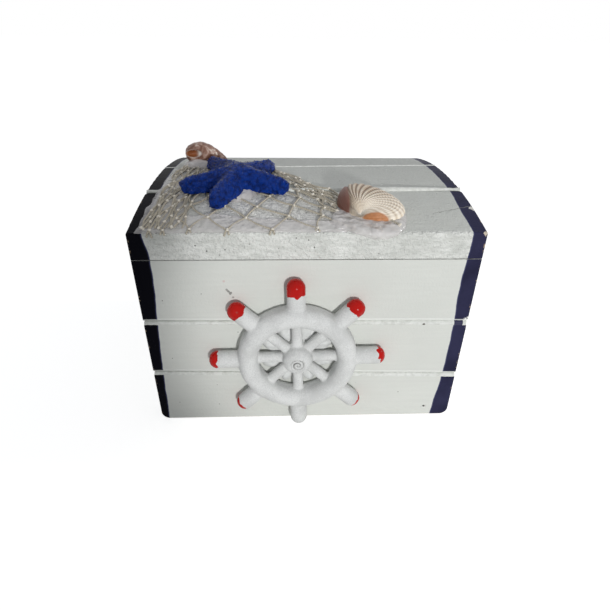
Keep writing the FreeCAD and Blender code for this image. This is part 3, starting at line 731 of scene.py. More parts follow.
def runPaint(name, body, lines, tree, material):
    points, edges, radii = [], [], []
    end = jointPaint["end"]
    steps = int(2 * end / jointPaint["step"])
    for line, spot in lines:
        for step in range(steps + 1):
            x = end * (2 * step / steps - 1)
            share = 0.5 + x / (2 * chest["halfWidth"])
            if step:
                edges.append((len(points) - 1, len(points)))
            points.append(spot(x, line["ends"][0] + (line["ends"][1] - line["ends"][0]) * share, line))
            radii.append(np.interp(x, *zip(*line["radius"])) * mm)
    mesh = newMesh(name + "Lines", points, edges, [])
    addFloat(mesh, "beadRadius", radii)
    obj = newObject(name, mesh)
    growTree(obj, tree, {
        "Ring step": jointPaint["ringStep"] * mm,
        "Lump": jointPaint["lump"] * mm,
        "Lump scale": 1 / (jointPaint["lumpSize"] * mm),
        "Finish": material,
    })
    makePiece(obj, material, body, "painted_wood")
    print(name, len(obj.data.polygons), "faces")


def makeJointPaint():
    material, tree = driedPaint(), beadTree()

    def beadDepth(x, line):
        return np.interp(x, *zip(*line["radius"])) - line["proud"]

    def onFront(x, z, line):
        return Vector((x, beadDepth(x, line) - chest["halfDepth"], z)) * mm

    def onBack(x, z, line):
        return Vector((x, chest["halfDepth"] - beadDepth(x, line), z)) * mm

    def onLid(x, back, line):
        return lidPoint(x, back, line["level"])

    walls = [(line, side) for line in jointPaint["walls"] for side in (onFront, onBack)]
    runPaint("wallJointPaint", "chest", walls, tree, material)
    runPaint("lidJointPaint", "lid", [(line, onLid) for line in jointPaint["lid"]], tree, material)


makeJointPaint()

# Stamped brass hinges and their nails, and the dull steel brad
hardware = {
    "brass": "#b58d45",
    "brassDark": "#8a6a33",
    "steel": "#4a4743",
    "lineWidth": 0.35,
    "bradAt": (45.3, -45.0, 4.5),
    "bradShows": 0.55,
}


def stampedMetal(name, light, dark, roughness):
    # rolled sheet: fine lines along the roll, drawn 0.35 mm apart so that they show
    material, add, shader, place = newMaterial(name)
    perLine = 1 / hardware["lineWidth"]
    drawn = add("ShaderNodeVectorMath", {0: place, 1: (0.08, perLine, perLine)}, operation="MULTIPLY")
    lines = add("ShaderNodeTexNoise", {"Vector": drawn, "Scale": 1.0, "Detail": 3.0})
    tarnish = add("ShaderNodeTexNoise", {"Vector": place, "Scale": 0.35, "Detail": 4.0})
    share = add("ShaderNodeMapRange", {0: tarnish, 1: 0.35, 2: 0.7})
    colour = add("ShaderNodeMix", {0: share, 6: light, 7: dark}, data_type="RGBA")
    rough = add("ShaderNodeMapRange", {0: lines, 3: roughness - 0.08, 4: roughness + 0.1})
    bump = add("ShaderNodeBump", {"Height": lines, "Distance": 0.02 * mm})
    setInputs(shader, {"Base Color": colour, "Metallic": 1.0, "Roughness": rough, "Normal": bump})
    return material


def paintedSteel():
    # a brad set under the paint: only the middle of its head has rusted through
    material, add, shader, place = newMaterial("paintedSteelBrad")
    ragged = add("ShaderNodeTexNoise", {"Vector": place, "Scale": 1.6, "Detail": 3.0})
    away = add("ShaderNodeVectorMath", {0: place, 1: hardware["bradAt"]}, operation="DISTANCE")
    torn = add("ShaderNodeMath", {0: ragged, 1: 0.7, 2: away}, operation="MULTIPLY_ADD")
    shows = add("ShaderNodeMapRange", {
        0: torn, 1: hardware["bradShows"] + 0.35, 2: hardware["bradShows"] + 0.2,
    })
    colour = add("ShaderNodeMix", {0: shows, 6: paint["white"], 7: hardware["steel"]}, data_type="RGBA")
    bump = add("ShaderNodeBump", {"Height": ragged, "Distance": 0.1 * mm})
    setInputs(shader, {"Base Color": colour, "Roughness": 0.58, "Normal": bump, "IOR": 1.36})
    return material


def dressHardware():
    brass = stampedMetal("stampedBrass", hardware["brass"], hardware["brassDark"], 0.34)
    for name, obj in cadNodes.items():
        if "hinge" in name:
            dress(obj, brass)
    dress(cadNodes["base_brad"], paintedSteel())
    print("hinges, nails and brad dressed")


dressHardware()

# Ship's wheel: cast plaster-filled resin, matt and a little sandy, its handle tips dipped in red gloss
wheel = {
    "voxel": 0.33,
    "rounds": 4,
    "lump": 0.07,
    "lumpsPerMetre": (260, 620),
    "white": "#dcdddb",
    "shade": "#c9cac8",
    "red": "#cb140c",
    "redDark": "#9c0e09",
    # how far out the red begins on each handle, by eighths of a turn from the right-hand one
    "redFrom": [
        (0, 27.9), (1, 26.5), (2, 25.2), (3, 26.4), (4, 27.3), (5, 28.0), (6, 31.5), (7, 28.3), (8, 27.9),
    ],
    "redScale": 40.0,
    "grit": 0.45,
    "swell": 0.07,
    # a coil of rope cast into the hub
    "coil": {
        "radius": 2.7, "pitch": 1.2, "depth": 0.65, "front": 8.5, "back": 7.4, "overlap": 0.3, "dish": 0.12,
        "rimDrop": 0.35, "strands": 15, "lay": 0.2, "start": 0.35, "rings": 60, "around": 120,
    },
    # painted shade for the creases between the coil's turns
    "shadeBetweenTurns": "#4f4d48",
}


def castResin():
    # chalky white with painted shade in the creases of the hub's coil, and wet red gloss on the tips
    material, add, shader, place = newMaterial("castResinRedTips")
    centre = (-chest["wheelX"], 0.0, -chest["wheelZ"])
    moved = add("ShaderNodeVectorMath", {0: place, 1: centre}, operation="ADD")
    flat = add("ShaderNodeVectorMath", {0: moved, 1: (1, 0, 1)}, operation="MULTIPLY")
    radius = add("ShaderNodeVectorMath", {0: flat}, operation="LENGTH")
    back = add("ShaderNodeVectorMath", {0: flat, "Scale": -1.0}, operation="SCALE")
    mirrored = add("ShaderNodeSeparateXYZ", {0: back})
    angle = add("ShaderNodeMath", {0: mirrored.outputs[2], 1: mirrored.outputs[0]}, operation="ARCTAN2")
    turn = add("ShaderNodeMapRange", {0: angle, 1: -math.pi, 2: math.pi})
    begins = add("ShaderNodeFloatCurve", {"Value": turn})
    setCurve(begins, wheel["redFrom"], 8, wheel["redScale"])
    wave = add("ShaderNodeTexNoise", {"Vector": place, "Scale": 0.5, "Detail": 2.0})
    edge = add("ShaderNodeMath", {0: begins, 1: wheel["redScale"]}, operation="MULTIPLY")
    ragged = add("ShaderNodeMath", {0: wave, 1: 2.4, 2: -1.2}, operation="MULTIPLY_ADD")
    lowered = add("ShaderNodeMath", {0: edge, 1: ragged}, operation="ADD")
    over = add("ShaderNodeMath", {0: radius, 1: lowered}, operation="SUBTRACT")
    dipped = add("ShaderNodeMapRange", {0: over, 1: -0.06, 2: 0.06})

    grit = add("ShaderNodeTexNoise", {
        "Vector": place, "Scale": 1 / wheel["grit"], "Detail": 2.0, "Roughness": 0.7,
    })
    patch = add("ShaderNodeTexNoise", {"Vector": place, "Scale": 0.16, "Detail": 3.0})
    dusty = add("ShaderNodeMath", {0: grit, 1: patch}, operation="MULTIPLY")
    share = add("ShaderNodeMapRange", {0: dusty, 1: 0.15, 2: 0.33})
    white = add("ShaderNodeMix", {0: share, 6: wheel["shade"], 7: wheel["white"]}, data_type="RGBA")
    red = add("ShaderNodeMix", {0: patch, 6: wheel["redDark"], 7: wheel["red"]}, data_type="RGBA")
    coilShade = add("ShaderNodeAttribute", attribute_name="coilShade").outputs["Fac"]
    shadedBetweenTurns = add("ShaderNodeMix", {0: coilShade, 6: white, 7: wheel["shadeBetweenTurns"]}, data_type="RGBA")
    colour = add("ShaderNodeMix", {0: dipped, 6: shadedBetweenTurns, 7: red}, data_type="RGBA")
    rough = add("ShaderNodeMix", {0: dipped, 2: 0.78, 3: 0.16})

    sand = add("ShaderNodeMix", {0: dipped, 2: grit, 3: 0.5})
    bump = add("ShaderNodeBump", {"Height": sand, "Distance": 0.08 * mm})
    setInputs(shader, {
        "Base Color": colour, "Roughness": rough, "Normal": bump, "IOR": 1.45, "Specular IOR Level": 0.16,
    })
    return material


def wheelPoint(radius, angle, height):
    # a place round the wheel's middle, at a height off the chest's front
    x, z = radius * math.cos(angle), radius * math.sin(angle)
    return Vector((chest["wheelX"] + x, -chest["halfDepth"] - height, chest["wheelZ"] + z)) * mm


def ropeCoil():
    # the hub's face: one strand wound in to the middle, with painted shade in the creases between its turns
    coil = wheel["coil"]
    around = coil["around"]
    points, coilShade = [wheelPoint(0, 0, coil["front"] - coil["depth"] * 0.5)], [0.3]
    for ring in range(1, coil["rings"] + 1):
        radius = coil["radius"] * ring / coil["rings"]
        edge = min(1.0, (1 - ring / coil["rings"]) * 5)
        dome = coil["front"] - coil["dish"] * (radius / coil["radius"]) ** 2 - coil["rimDrop"] * (1 - edge)
        for step in range(around):
            turn = step / around
            phase = (radius / coil["pitch"] + turn + coil["start"]) % 1.0
            strand = math.sin(math.pi * phase) ** 0.7
            lay = 0.5 + 0.5 * math.sin(2 * math.pi * (coil["strands"] * turn + 0.6 * phase))
            sunk = 1 - strand * (1 - coil["lay"] * lay * min(1.0, radius))
            angle = -2 * math.pi * turn
            points.append(wheelPoint(radius, angle, dome - coil["depth"] * sunk * edge))
            # the painted shade lies deepest on the upper left, away from the light, in dashes between the
            # strands
            shaded = 0.25 + 0.375 * (1 + math.cos(angle - 0.7 * math.pi))
            shadeBetweenTurns = min(1.0, max(0.0, sunk - 0.2) * 2.6) * min(1.0, edge * 2)
            coilShade.append(shadeBetweenTurns * shaded * (1 - 0.6 * lay))
    # the face turns back into the hub and closes there
    points += [Vector((p.x, (-chest["halfDepth"] - coil["back"]) * mm, p.z)) for p in points[-around:]]
    coilShade += [0.0] * around
    closed = tuple(range(len(points) - around, len(points)))
    return newMesh("ropeCoil", points, [], discFaces(coil["rings"] + 1, around) + [closed]), coilShade


def makeWheel():
    obj = castCopy("ships_wheel", "shipsWheel", wheel["voxel"], wheel["rounds"])
    mesh, coil = obj.data, wheel["coil"]
    broad, fine = wheel["lumpsPerMetre"]
    for vertex, normal in zip(mesh.vertices, [n.vector.copy() for n in mesh.vertex_normals]):
        lump = noise.noise(vertex.co * broad) + 0.5 * noise.noise(vertex.co * fine)
        vertex.co += normal * (lump * wheel["lump"] + wheel["swell"]) * mm
        # the middle of the hub steps back behind the coil
        away = math.hypot(vertex.co.x / mm - chest["wheelX"], vertex.co.z / mm - chest["wheelZ"])
        if away < coil["radius"] - coil["overlap"]:
            vertex.co.y = max(vertex.co.y, (-chest["halfDepth"] - coil["back"]) * mm)
    face, coilShade = ropeCoil()
    plain = len(mesh.vertices)
    joined = bmesh.new()
    joined.from_mesh(mesh)
    joined.from_mesh(face)
    joined.to_mesh(mesh)
    joined.free()
    addFloat(mesh, "coilShade", [0.0] * plain + coilShade)
    makePiece(obj, castResin(), "chest", "cast_resin", "ships_wheel")
    print("ship's wheel:", len(mesh.polygons), "faces")


makeWheel()

# Net: knotted cotton twine, gathered along the left side and along the line to the ribbed shell
net = {
    "columns": 20,
    "rows": 8,
    "gather": 0.78,
    "frontLeft": (-50.0, 0.9),
    "frontRight": (28.0, 2.4),
    "backRight": (-13.0, 51.0),
    "backLeft": (-46.5, 59.0),
    "level": 0.62,
    "pile": 1.1,
    "jitter": 0.8,
    "bow": 1.0,
    "frontJitter": 0.4,
    "knotTilt": 0.3,
    "barSteps": 6,
    "twineRadius": 0.3,
    "twistLength": 1.7,
    "ringStep": 0.34,
    "knotRadius": 0.4,
    "tail": 2.2,
    # where the net is bunched: both ends of each bunch, how many strands, how many knots on each
    "bunches": [
        {
            "start": [(-50.2, 1.4), (-38.0, 2.0)], "finish": [(-46.8, 60.5), (-34.0, 57.0)],
            "strands": 9, "knots": 6,
        },
        {
            "start": [(9.0, 11.0), (11.5, 16.5)], "finish": [(-14.5, 40.0), (-11.0, 50.0)],
            "strands": 5, "knots": 4,
        },
    ],
    "strandShift": 0.3,
    "strandPhase": 2.1,
    "strandSway": 0.6,
    "strandShake": 0.15,
    "strandPile": 0.6,
    "stepsPerKnot": 3,
    "seed": 11,
    "twine": "#cdc5b2",
    "twineShade": "#938b7b",
    # the knots' lighter colour is a painted highlight
    "knot": "#e9e3d6",
}


def netPlan(column, row):
    share = column / net["columns"]
    share -= net["gather"] * math.sin(2 * math.pi * share) / (2 * math.pi)
    depth = row / net["rows"]
    left = Vector(net["frontLeft"]).lerp(Vector(net["backLeft"]), depth)
    right = Vector(net["frontRight"]).lerp(Vector(net["backRight"]), depth)
    return left.lerp(right, share)


def cottonTwine():
    # plied cotton: dull, greyed in the lay between the plies, with the knots painted lighter as a painted
    # highlight
    material, add, shader, place = newMaterial("cottonTwine")
    fuzz = add("ShaderNodeTexNoise", {"Vector": place, "Scale": 2.2, "Detail": 3.0})
    laid = add("ShaderNodeMix", {0: fuzz, 6: net["twineShade"], 7: net["twine"]}, data_type="RGBA")
    knotted = add("ShaderNodeAttribute", attribute_name="knotted").outputs["Fac"]
    colour = add("ShaderNodeMix", {0: knotted, 6: laid, 7: net["knot"]}, data_type="RGBA")
    bump = add("ShaderNodeBump", {"Height": fuzz, "Distance": 0.06 * mm})
    setInputs(shader, {
        "Base Color": colour, "Roughness": 0.62, "Normal": bump, "Sheen Weight": 0.25, "IOR": 1.5,
    })
    return material


def netTree():
    tree, add, sizes = newTree("knottedNet", [
        ("Twine radius", "Float"), ("Twist length", "Float"), ("Ring step", "Float"),
        ("Knot radius", "Float"), ("Finish", "Material"),
    ])
    bars = add("GeometryNodeMeshToCurve", {0: sizes["Geometry"]})
    smooth = add("GeometryNodeCurveSplineType", {0: bars}, spline_type="CATMULL_ROM")
    even = add("GeometryNodeResampleCurve", {0: smooth, "Length": sizes["Ring step"]}, mode="LENGTH")
    along = add("GeometryNodeSplineParameter")
    turns = add("ShaderNodeMath", {0: along.outputs["Length"], 1: sizes["Twist length"]}, operation="DIVIDE")
    angle = add("ShaderNodeMath", {0: turns, 1: 2 * math.pi}, operation="MULTIPLY")
    tilted = add("GeometryNodeSetCurveTilt", {0: even, "Tilt": angle})
    ring = add("GeometryNodeCurvePrimitiveCircle", {"Resolution": 7, "Radius": sizes["Twine radius"]})
    plied = add("GeometryNodeTransform", {0: ring, "Scale": (1.28, 0.74, 1.0)})
    twine = add("GeometryNodeCurveToMesh", {"Curve": tilted, "Profile Curve": plied, "Fill Caps": True})

    # a knot is two small loops pulled through each other
    loop = add("GeometryNodeCurvePrimitiveCircle", {"Resolution": 6, "Radius": sizes["Knot radius"]})
    section = add("GeometryNodeCurvePrimitiveCircle", {"Resolution": 4, "Radius": sizes["Twine radius"]})
    torus = add("GeometryNodeCurveToMesh", {"Curve": loop, "Profile Curve": section})
    laid = add("GeometryNodeTransform", {0: torus, "Rotation": (0.5, 0.35, 0.0), "Scale": (1.5, 0.75, 1.0)})
    crossed = add("GeometryNodeTransform", {0: torus, "Rotation": (-0.6, 1.1, 0.4), "Scale": (0.9, 0.9, 1.0)})
    knot = add("GeometryNodeJoinGeometry", {0: [laid, crossed]})
    isKnot = add("GeometryNodeInputNamedAttribute", {"Name": "isKnot"}, data_type="BOOLEAN")
    lie = add("GeometryNodeInputNamedAttribute", {"Name": "knotTurn"}, data_type="FLOAT_VECTOR")
    turn = add("FunctionNodeEulerToRotation", {0: lie})
    points = add("GeometryNodeMeshToPoints", {0: sizes["Geometry"], "Selection": isKnot})
    marked = add("GeometryNodeStoreNamedAttribute", {
        0: knot, "Name": "knotted", "Value": 1.0,
    }, data_type="FLOAT", domain="POINT")
    knots = add("GeometryNodeInstanceOnPoints", {0: points, "Instance": marked, "Rotation": turn})
    both = add("GeometryNodeJoinGeometry", {0: [twine, knots]})
    endTree(add, both, sizes["Finish"])
    return tree


def makeNet():
    chance = random.Random(net["seed"])
    points, edges, isKnot, turns, knotIndex = [], [], [], [], {}

    def addPoint(plan, level, knotted, turn=0.0):
        points.append(lidPoint(plan.x, plan.y, level))
        isKnot.append(knotted)
        if knotted:
            tilt = net["knotTilt"]
            turns.append((chance.uniform(-tilt, tilt), chance.uniform(-tilt, tilt), turn))
        else:
            turns.append((0.0, 0.0, 0.0))
        return len(points) - 1

    def levelAt(column):
        crowd = max(0.0, math.cos(2 * math.pi * column / net["columns"])) ** 2
        return net["level"] + net["pile"] * crowd * chance.random() ** 2

    plans, levels = {}, {}
    for row in range(net["rows"] + 1):
        for column in range(net["columns"] + 1):
            if (column + row) % 2 == 0:
                loose = Vector((chance.uniform(-1, 1), chance.uniform(-1, 1))) * net["jitter"]
                plans[column, row] = netPlan(column, row) + loose * (1.0 if row else net["frontJitter"])
                levels[column, row] = levelAt(column)
                lean = netPlan(column, row + 1) - netPlan(column, row)
                turn = math.atan2(lean.y, lean.x)
                knotIndex[column, row] = addPoint(plans[column, row], levels[column, row], True, turn)

    def addBar(start, finish):
        straight = plans[finish] - plans[start]
        aside = Vector((-straight.y, straight.x)).normalized() * chance.uniform(-1, 1) * net["bow"]
        last = knotIndex[start]
        for step in range(1, net["barSteps"]):
            share = step / net["barSteps"]
            plan = plans[start] + straight * share + aside * math.sin(math.pi * share)
            level = levels[start] * (1 - share) + levels[finish] * share
            here = addPoint(plan, level, False)
            edges.append((last, here))
            last = here
        edges.append((last, knotIndex[finish]))

    for column, row in plans:
        for step in (-1, 1):
            if (column + step, row + 1) in plans:
                addBar((column, row), (column + step, row + 1))

    # strands of the bunched side, each a row of knots that zigzags to the back
    for bunch in net["bunches"]:
        for strand in range(bunch["strands"]):
            shift = chance.uniform(-net["strandShift"], net["strandShift"])
            share = (strand + 0.5 + shift) / bunch["strands"]
            start = Vector(bunch["start"][0]).lerp(Vector(bunch["start"][1]), share)
            finish = Vector(bunch["finish"][0]).lerp(Vector(bunch["finish"][1]), share)
            gap = net["stepsPerKnot"]
            steps = bunch["knots"] * gap
            aside = Vector((start.y - finish.y, finish.x - start.x)).normalized()
            turn = math.atan2(finish.y - start.y, finish.x - start.x)
            last = None
            for step in range(steps + 1):
                wave = math.sin(math.pi * step / gap + strand * net["strandPhase"]) * net["bow"]
                shake = chance.uniform(-net["strandShake"], net["strandShake"])
                plan = start.lerp(finish, step / steps) + aside * (wave * net["strandSway"] + shake)
                level = net["level"] + net["pile"] * chance.random() * net["strandPile"]
                here = addPoint(plan, level, step % gap == strand % gap, turn)
                if last is not None:
                    edges.append((last, here))
                last = here

    # cut ends at the front edge
    for column in range(2, net["columns"], 2):
        for side in (-0.5, 0.5):
            plan = plans[column, 0]
            reach = net["tail"] * chance.uniform(0.6, 1.0)
            middle = addPoint(plan + Vector((side * reach * 0.4, -reach * 0.4)), net["level"], False)
            end = addPoint(plan + Vector((side * reach * 0.8, -reach)), net["level"], False)
            edges.append((knotIndex[column, 0], middle))
            edges.append((middle, end))

    mesh = newMesh("netLines", points, edges, [])
    mesh.attributes.new("isKnot", "BOOLEAN", "POINT").data.foreach_set("value", isKnot)
    flatTurns = [value for turn in turns for value in turn]
    mesh.attributes.new("knotTurn", "FLOAT_VECTOR", "POINT").data.foreach_set("vector", flatTurns)
    obj = newObject("fishingNet", mesh)
    material = cottonTwine()
    growTree(obj, netTree(), {
        "Twine radius": net["twineRadius"] * mm,
        "Twist length": net["twistLength"] * mm,
        "Ring step": net["ringStep"] * mm,
        "Knot radius": net["knotRadius"] * mm,
        "Finish": material,
    })
    makePiece(obj, material, "lid", "net_twine", "fishing_net")
    print("net:", len(knotIndex), "knots,", len(obj.data.polygons), "faces")


makeNet()

# Starfish: a knobbly casting under royal blue gloss
starfish = {
    "voxel": 0.4,
    "rounds": 2,
    "knobRadius": 0.37,
    "knobGap": 0.95,
    "seed": 5,
    "skinVoxel": 0.25,
    "skinRounds": 1,
    "inset": 0.2,
    "wrinkle": 0.3,
    "wrinklesPerMetre": 640,
    "centre": (-23.5, 31.5),
    # where each arm points, its length, how far it was bent aside while soft, and drawn out
    "arms": [
        {"turn": 204, "length": 19.4, "bend": 0, "draw": 1.0},
        {"turn": 257, "length": 19.6, "bend": -4.5, "draw": 1.04},
        {"turn": 333, "length": 18.4, "bend": 0, "draw": 1.0},
        {"turn": 57, "length": 19.4, "bend": 0, "draw": 1.03},
        {"turn": 111, "length": 24.0, "bend": 8.5, "draw": 1.04},
    ],
    "heights": (7.3, 4.4),
    "squeeze": 0.42,
    "cutBack": 1.3,
    "blue": "#0b3792",
    "blueDeep": "#051648",
}


def blueGloss():
    # brushed enamel over rough plaster: darker where it pools in the creases, which also paints in their
    # shade, and lighter on the knobs as a painted highlight
    material, add, shader, place = newMaterial("blueEnamel")
    skewed = add("ShaderNodeTexNoise", {"Vector": place, "Scale": 0.7, "Detail": 2.0})
    swirl = add("ShaderNodeVectorMath", {
        0: skewed.outputs["Color"], 1: (1.6, 1.6, 1.6), 2: place,
    }, operation="MULTIPLY_ADD")
    blisters = add("ShaderNodeTexVoronoi", {
        "Vector": swirl, "Scale": 0.75, "Smoothness": 0.4,
    }, feature="SMOOTH_F1")
    fine = add("ShaderNodeTexNoise", {
        "Vector": place, "Scale": 1.5, "Detail": 4.0, "Roughness": 0.65, "Distortion": 1.0,
    })
    wrinkle = add("ShaderNodeMath", {
        0: blisters.outputs["Distance"], 1: -0.9, 2: fine,
    }, operation="MULTIPLY_ADD")
    # the wrinkles' low places take the deep blue as painted shade, the high places the bright blue as painted
    # light
    share = add("ShaderNodeMapRange", {0: wrinkle, 1: -0.4, 2: 0.2})
    colour = add("ShaderNodeMix", {0: share, 6: starfish["blueDeep"], 7: starfish["blue"]}, data_type="RGBA")
    bump = add("ShaderNodeBump", {"Height": wrinkle, "Distance": 0.75 * mm})
    setInputs(shader, {
        "Base Color": colour, "Roughness": 0.17, "Normal": bump, "IOR": 1.45, "Specular IOR Level": 0.15,
    })
    return material


def knobTree():
    tree, add, sizes = newTree("knobbedSkin", [
        ("Knob radius", "Float"), ("Knob gap", "Float"), ("Seed", "Int"), ("Finish", "Material"),
    ])
    facing = add("GeometryNodeInputNormal")
    up = add("ShaderNodeSeparateXYZ", {0: facing})
    upper = add("FunctionNodeCompare", {0: up.outputs[2], 1: -0.25}, operation="GREATER_THAN")
    spread = add("GeometryNodeDistributePointsOnFaces", {
        0: sizes["Geometry"], "Selection": upper, "Distance Min": sizes["Knob gap"], "Density Max": 4.0e6,
        "Seed": sizes["Seed"],
    }, distribute_method="POISSON")
    knob = add("GeometryNodeMeshIcoSphere", {"Radius": sizes["Knob radius"], "Subdivisions": 1})
    size = add("FunctionNodeRandomValue", {2: 0.55, 3: 1.15, "Seed": sizes["Seed"]}, data_type="FLOAT")
    knobs = add("GeometryNodeInstanceOnPoints", {0: spread, "Instance": knob, "Scale": size})
    both = add("GeometryNodeJoinGeometry", {0: [sizes["Geometry"], knobs]})
    endTree(add, both, sizes["Finish"])
    return tree


def shapeArm(place, centre, arms):
    # each arm is drawn in towards a ridge, its end is cut square, and some are bent aside
    plan = place.xy - centre.xy

    def nearness(pair):
        arm, way = pair
        return plan.dot(way) / arm["length"] - abs(plan.cross(way)) * 0.08

    arm, way = max(arms, key=nearness)
    along, aside = plan.dot(way), plan.dot(Vector((-way.y, way.x)))
    share = min(max(along / arm["length"], 0.0), 1.0)
    ground = lidPoint(place.x, place.y + chest["halfDepth"], 0).z / mm
    tall = starfish["heights"][0] + (starfish["heights"][1] - starfish["heights"][0]) * share
    height = min(max((place.z - ground) / tall, 0.0), 1.0)
    aside *= 1 - starfish["squeeze"] * height * min(1.0, share * 3)
    along += starfish["cutBack"] * height * max(0.0, share - 0.8) * 5
    eased = min(max((share - 0.2) / 0.5, 0.0), 1.0)
    bend = math.radians(arm["bend"]) * eased * eased * (3 - 2 * eased)
    cos, sin = math.cos(bend), math.sin(bend)
    led = Vector((way.x * cos - way.y * sin, way.x * sin + way.y * cos))
    along *= 1 + (arm["draw"] - 1) * eased
    moved = centre.xy + led * along + Vector((-led.y, led.x)) * aside
    settled = lidPoint(moved.x, moved.y + chest["halfDepth"], 0).z / mm
    return Vector((moved.x, moved.y, place.z + settled - ground))


def makeStarfish():
    obj = castCopy("starfish", "knobblyStarfish", starfish["voxel"], starfish["rounds"])
    mesh = obj.data
    centre = lidPoint(*starfish["centre"], 0) / mm
    turns = [math.radians(arm["turn"]) for arm in starfish["arms"]]
    arms = [(arm, Vector((math.cos(turn), math.sin(turn)))) for arm, turn in zip(starfish["arms"], turns)]
    for vertex, normal in zip(mesh.vertices, [n.vector.copy() for n in mesh.vertex_normals]):
        ridge = 1 - 2 * abs(noise.noise(vertex.co * starfish["wrinklesPerMetre"]))
        place = vertex.co / mm + normal * (starfish["wrinkle"] * ridge - starfish["inset"])
        vertex.co = shapeArm(place, centre, arms) * mm
    material = blueGloss()
    growTree(obj, knobTree(), {
        "Knob radius": starfish["knobRadius"] * mm,
        "Knob gap": starfish["knobGap"] * mm,
        "Seed": starfish["seed"],
        "Finish": material,
    })
    evenSkin(obj, starfish["skinVoxel"], starfish["skinRounds"])
    makePiece(obj, material, "lid", "blue_resin", "starfish")
    print("starfish:", len(obj.data.polygons), "faces")


makeStarfish()

# Ribbed ark shell: a blunt dome whose ribs start at the beak, bend to the right and end on the far rim
arkShell = {
    "middle": (20.35, 13.4),
    "turn": -28.0,
    "half": (11.2, 8.0),
    "height": 4.5,
    "blunt": (6.0, 4.2),
    "square": 2.2,
    "taper": 0.37,
    "seat": 1.25,
    "beak": (-0.6, -7.9),
    # rim angles where the ribbed fan begins and ends, and how far the ribs bend on the way there
    "fan": (240.0, -72.0),
    "bend": [(-100, 0), (-72, 26), (-40, 34), (20, 36), (90, 32), (150, 26), (200, 14), (250, 0)],
    "ribs": 21,
    "stepsPerRib": 10,
    "plainSteps": 24,
    "growthSteps": 90,
    "crowding": 1.7,
    "ribHeight": 0.32,
    "growthLines": 17,
    # how deep the furrows are at the lobe, half way round and beside the worn patch
    "furrows": (1.0, 0.85, 0.35),
    "furrowNarrow": 1.8,
    # the smooth lobe left of the ribs, its furrow, and the worn patch right of the beak
    "lobe": {"edge": 12.9, "furrow": 0.4, "width": 0.45, "blend": 0.6},
    "worn": {"at": (4.15, 0.0), "half": (3.9, 2.5), "reach": 1.12, "blend": 0.25, "before": -2.5},
    # how far from the beak the brown rows begin along the shell, and how they fade along it
    "brownRows": {"ways": (-6, 3), "from": (0.0, 0.3), "blend": 0.4, "fadeWays": (-3, 6), "fade": (1.0, 0.3)},
    "cream": "#fbf3e5",
    "creamShade": "#c3aa86",
    "brown": "#6e5033",
    "mauve": "#70483b",
    "orange": "#d08f5b",
    "orangeDark": "#9a5f38",
}


def shellPorcelain():
    # weathered sea shell: chalky cream ribs, brown dotted rows, a mauve lobe, an amber worn patch
    material, add, shader, place = newMaterial("arkShellLime")
    growth, rib, lobe, worn, brown = (
        add("ShaderNodeAttribute", attribute_name=name).outputs["Fac"]
        for name in ("growth", "rib", "lobe", "worn", "brown")
    )
    patch = add("ShaderNodeTexNoise", {"Vector": place, "Scale": 0.4, "Detail": 4.0})
    furrowTone = add("ShaderNodeMix", {
        0: brown, 6: arkShell["creamShade"], 7: arkShell["brown"],
    }, data_type="RGBA")
    tan = add("ShaderNodeMath", {0: brown, 1: patch}, operation="MULTIPLY")
    ribTone = add("ShaderNodeMix", {
        0: tan, 6: arkShell["cream"], 7: arkShell["creamShade"],
    }, data_type="RGBA")
    cream = add("ShaderNodeMix", {0: rib, 6: furrowTone, 7: ribTone}, data_type="RGBA")

    # brown dots in rows across the ribs, thickest near the far rim
    rows = add("ShaderNodeMath", {0: growth, 1: 2 * math.pi * arkShell["growthLines"]}, operation="MULTIPLY")
    wave = add("ShaderNodeMath", {0: rows}, operation="SINE")
    banded = add("ShaderNodeMapRange", {0: wave, 1: -0.3, 2: 0.6})
    far = add("ShaderNodeMath", {0: patch, 1: 0.5, 2: brown}, operation="MULTIPLY_ADD")
    outer = add("ShaderNodeMapRange", {0: far, 1: 0.3, 2: 0.8})
    furrow = add("ShaderNodeMapRange", {0: rib, 1: 1.0, 2: 0.2, 3: 0.3, 4: 1.0})
    dotted = add("ShaderNodeMath", {0: banded, 1: furrow}, operation="MULTIPLY")
    spread = add("ShaderNodeMath", {0: dotted, 1: outer}, operation="MULTIPLY")
    browned = add("ShaderNodeMix", {0: spread, 6: cream, 7: arkShell["brown"]}, data_type="RGBA")
    lobed = add("ShaderNodeMix", {0: lobe, 6: browned, 7: arkShell["mauve"]}, data_type="RGBA")
    fibre = add("ShaderNodeTexNoise", {"Vector": place, "Scale": 1.1, "Detail": 3.0})
    amber = add("ShaderNodeMix", {
        0: fibre, 6: arkShell["orangeDark"], 7: arkShell["orange"],
    }, data_type="RGBA")
    colour = add("ShaderNodeMix", {0: worn, 6: lobed, 7: amber}, data_type="RGBA")
    bump = add("ShaderNodeBump", {"Height": wave, "Distance": 0.05 * mm})
    setInputs(shader, {"Base Color": colour, "Roughness": 0.42, "Normal": bump, "IOR": 1.53})
    return material


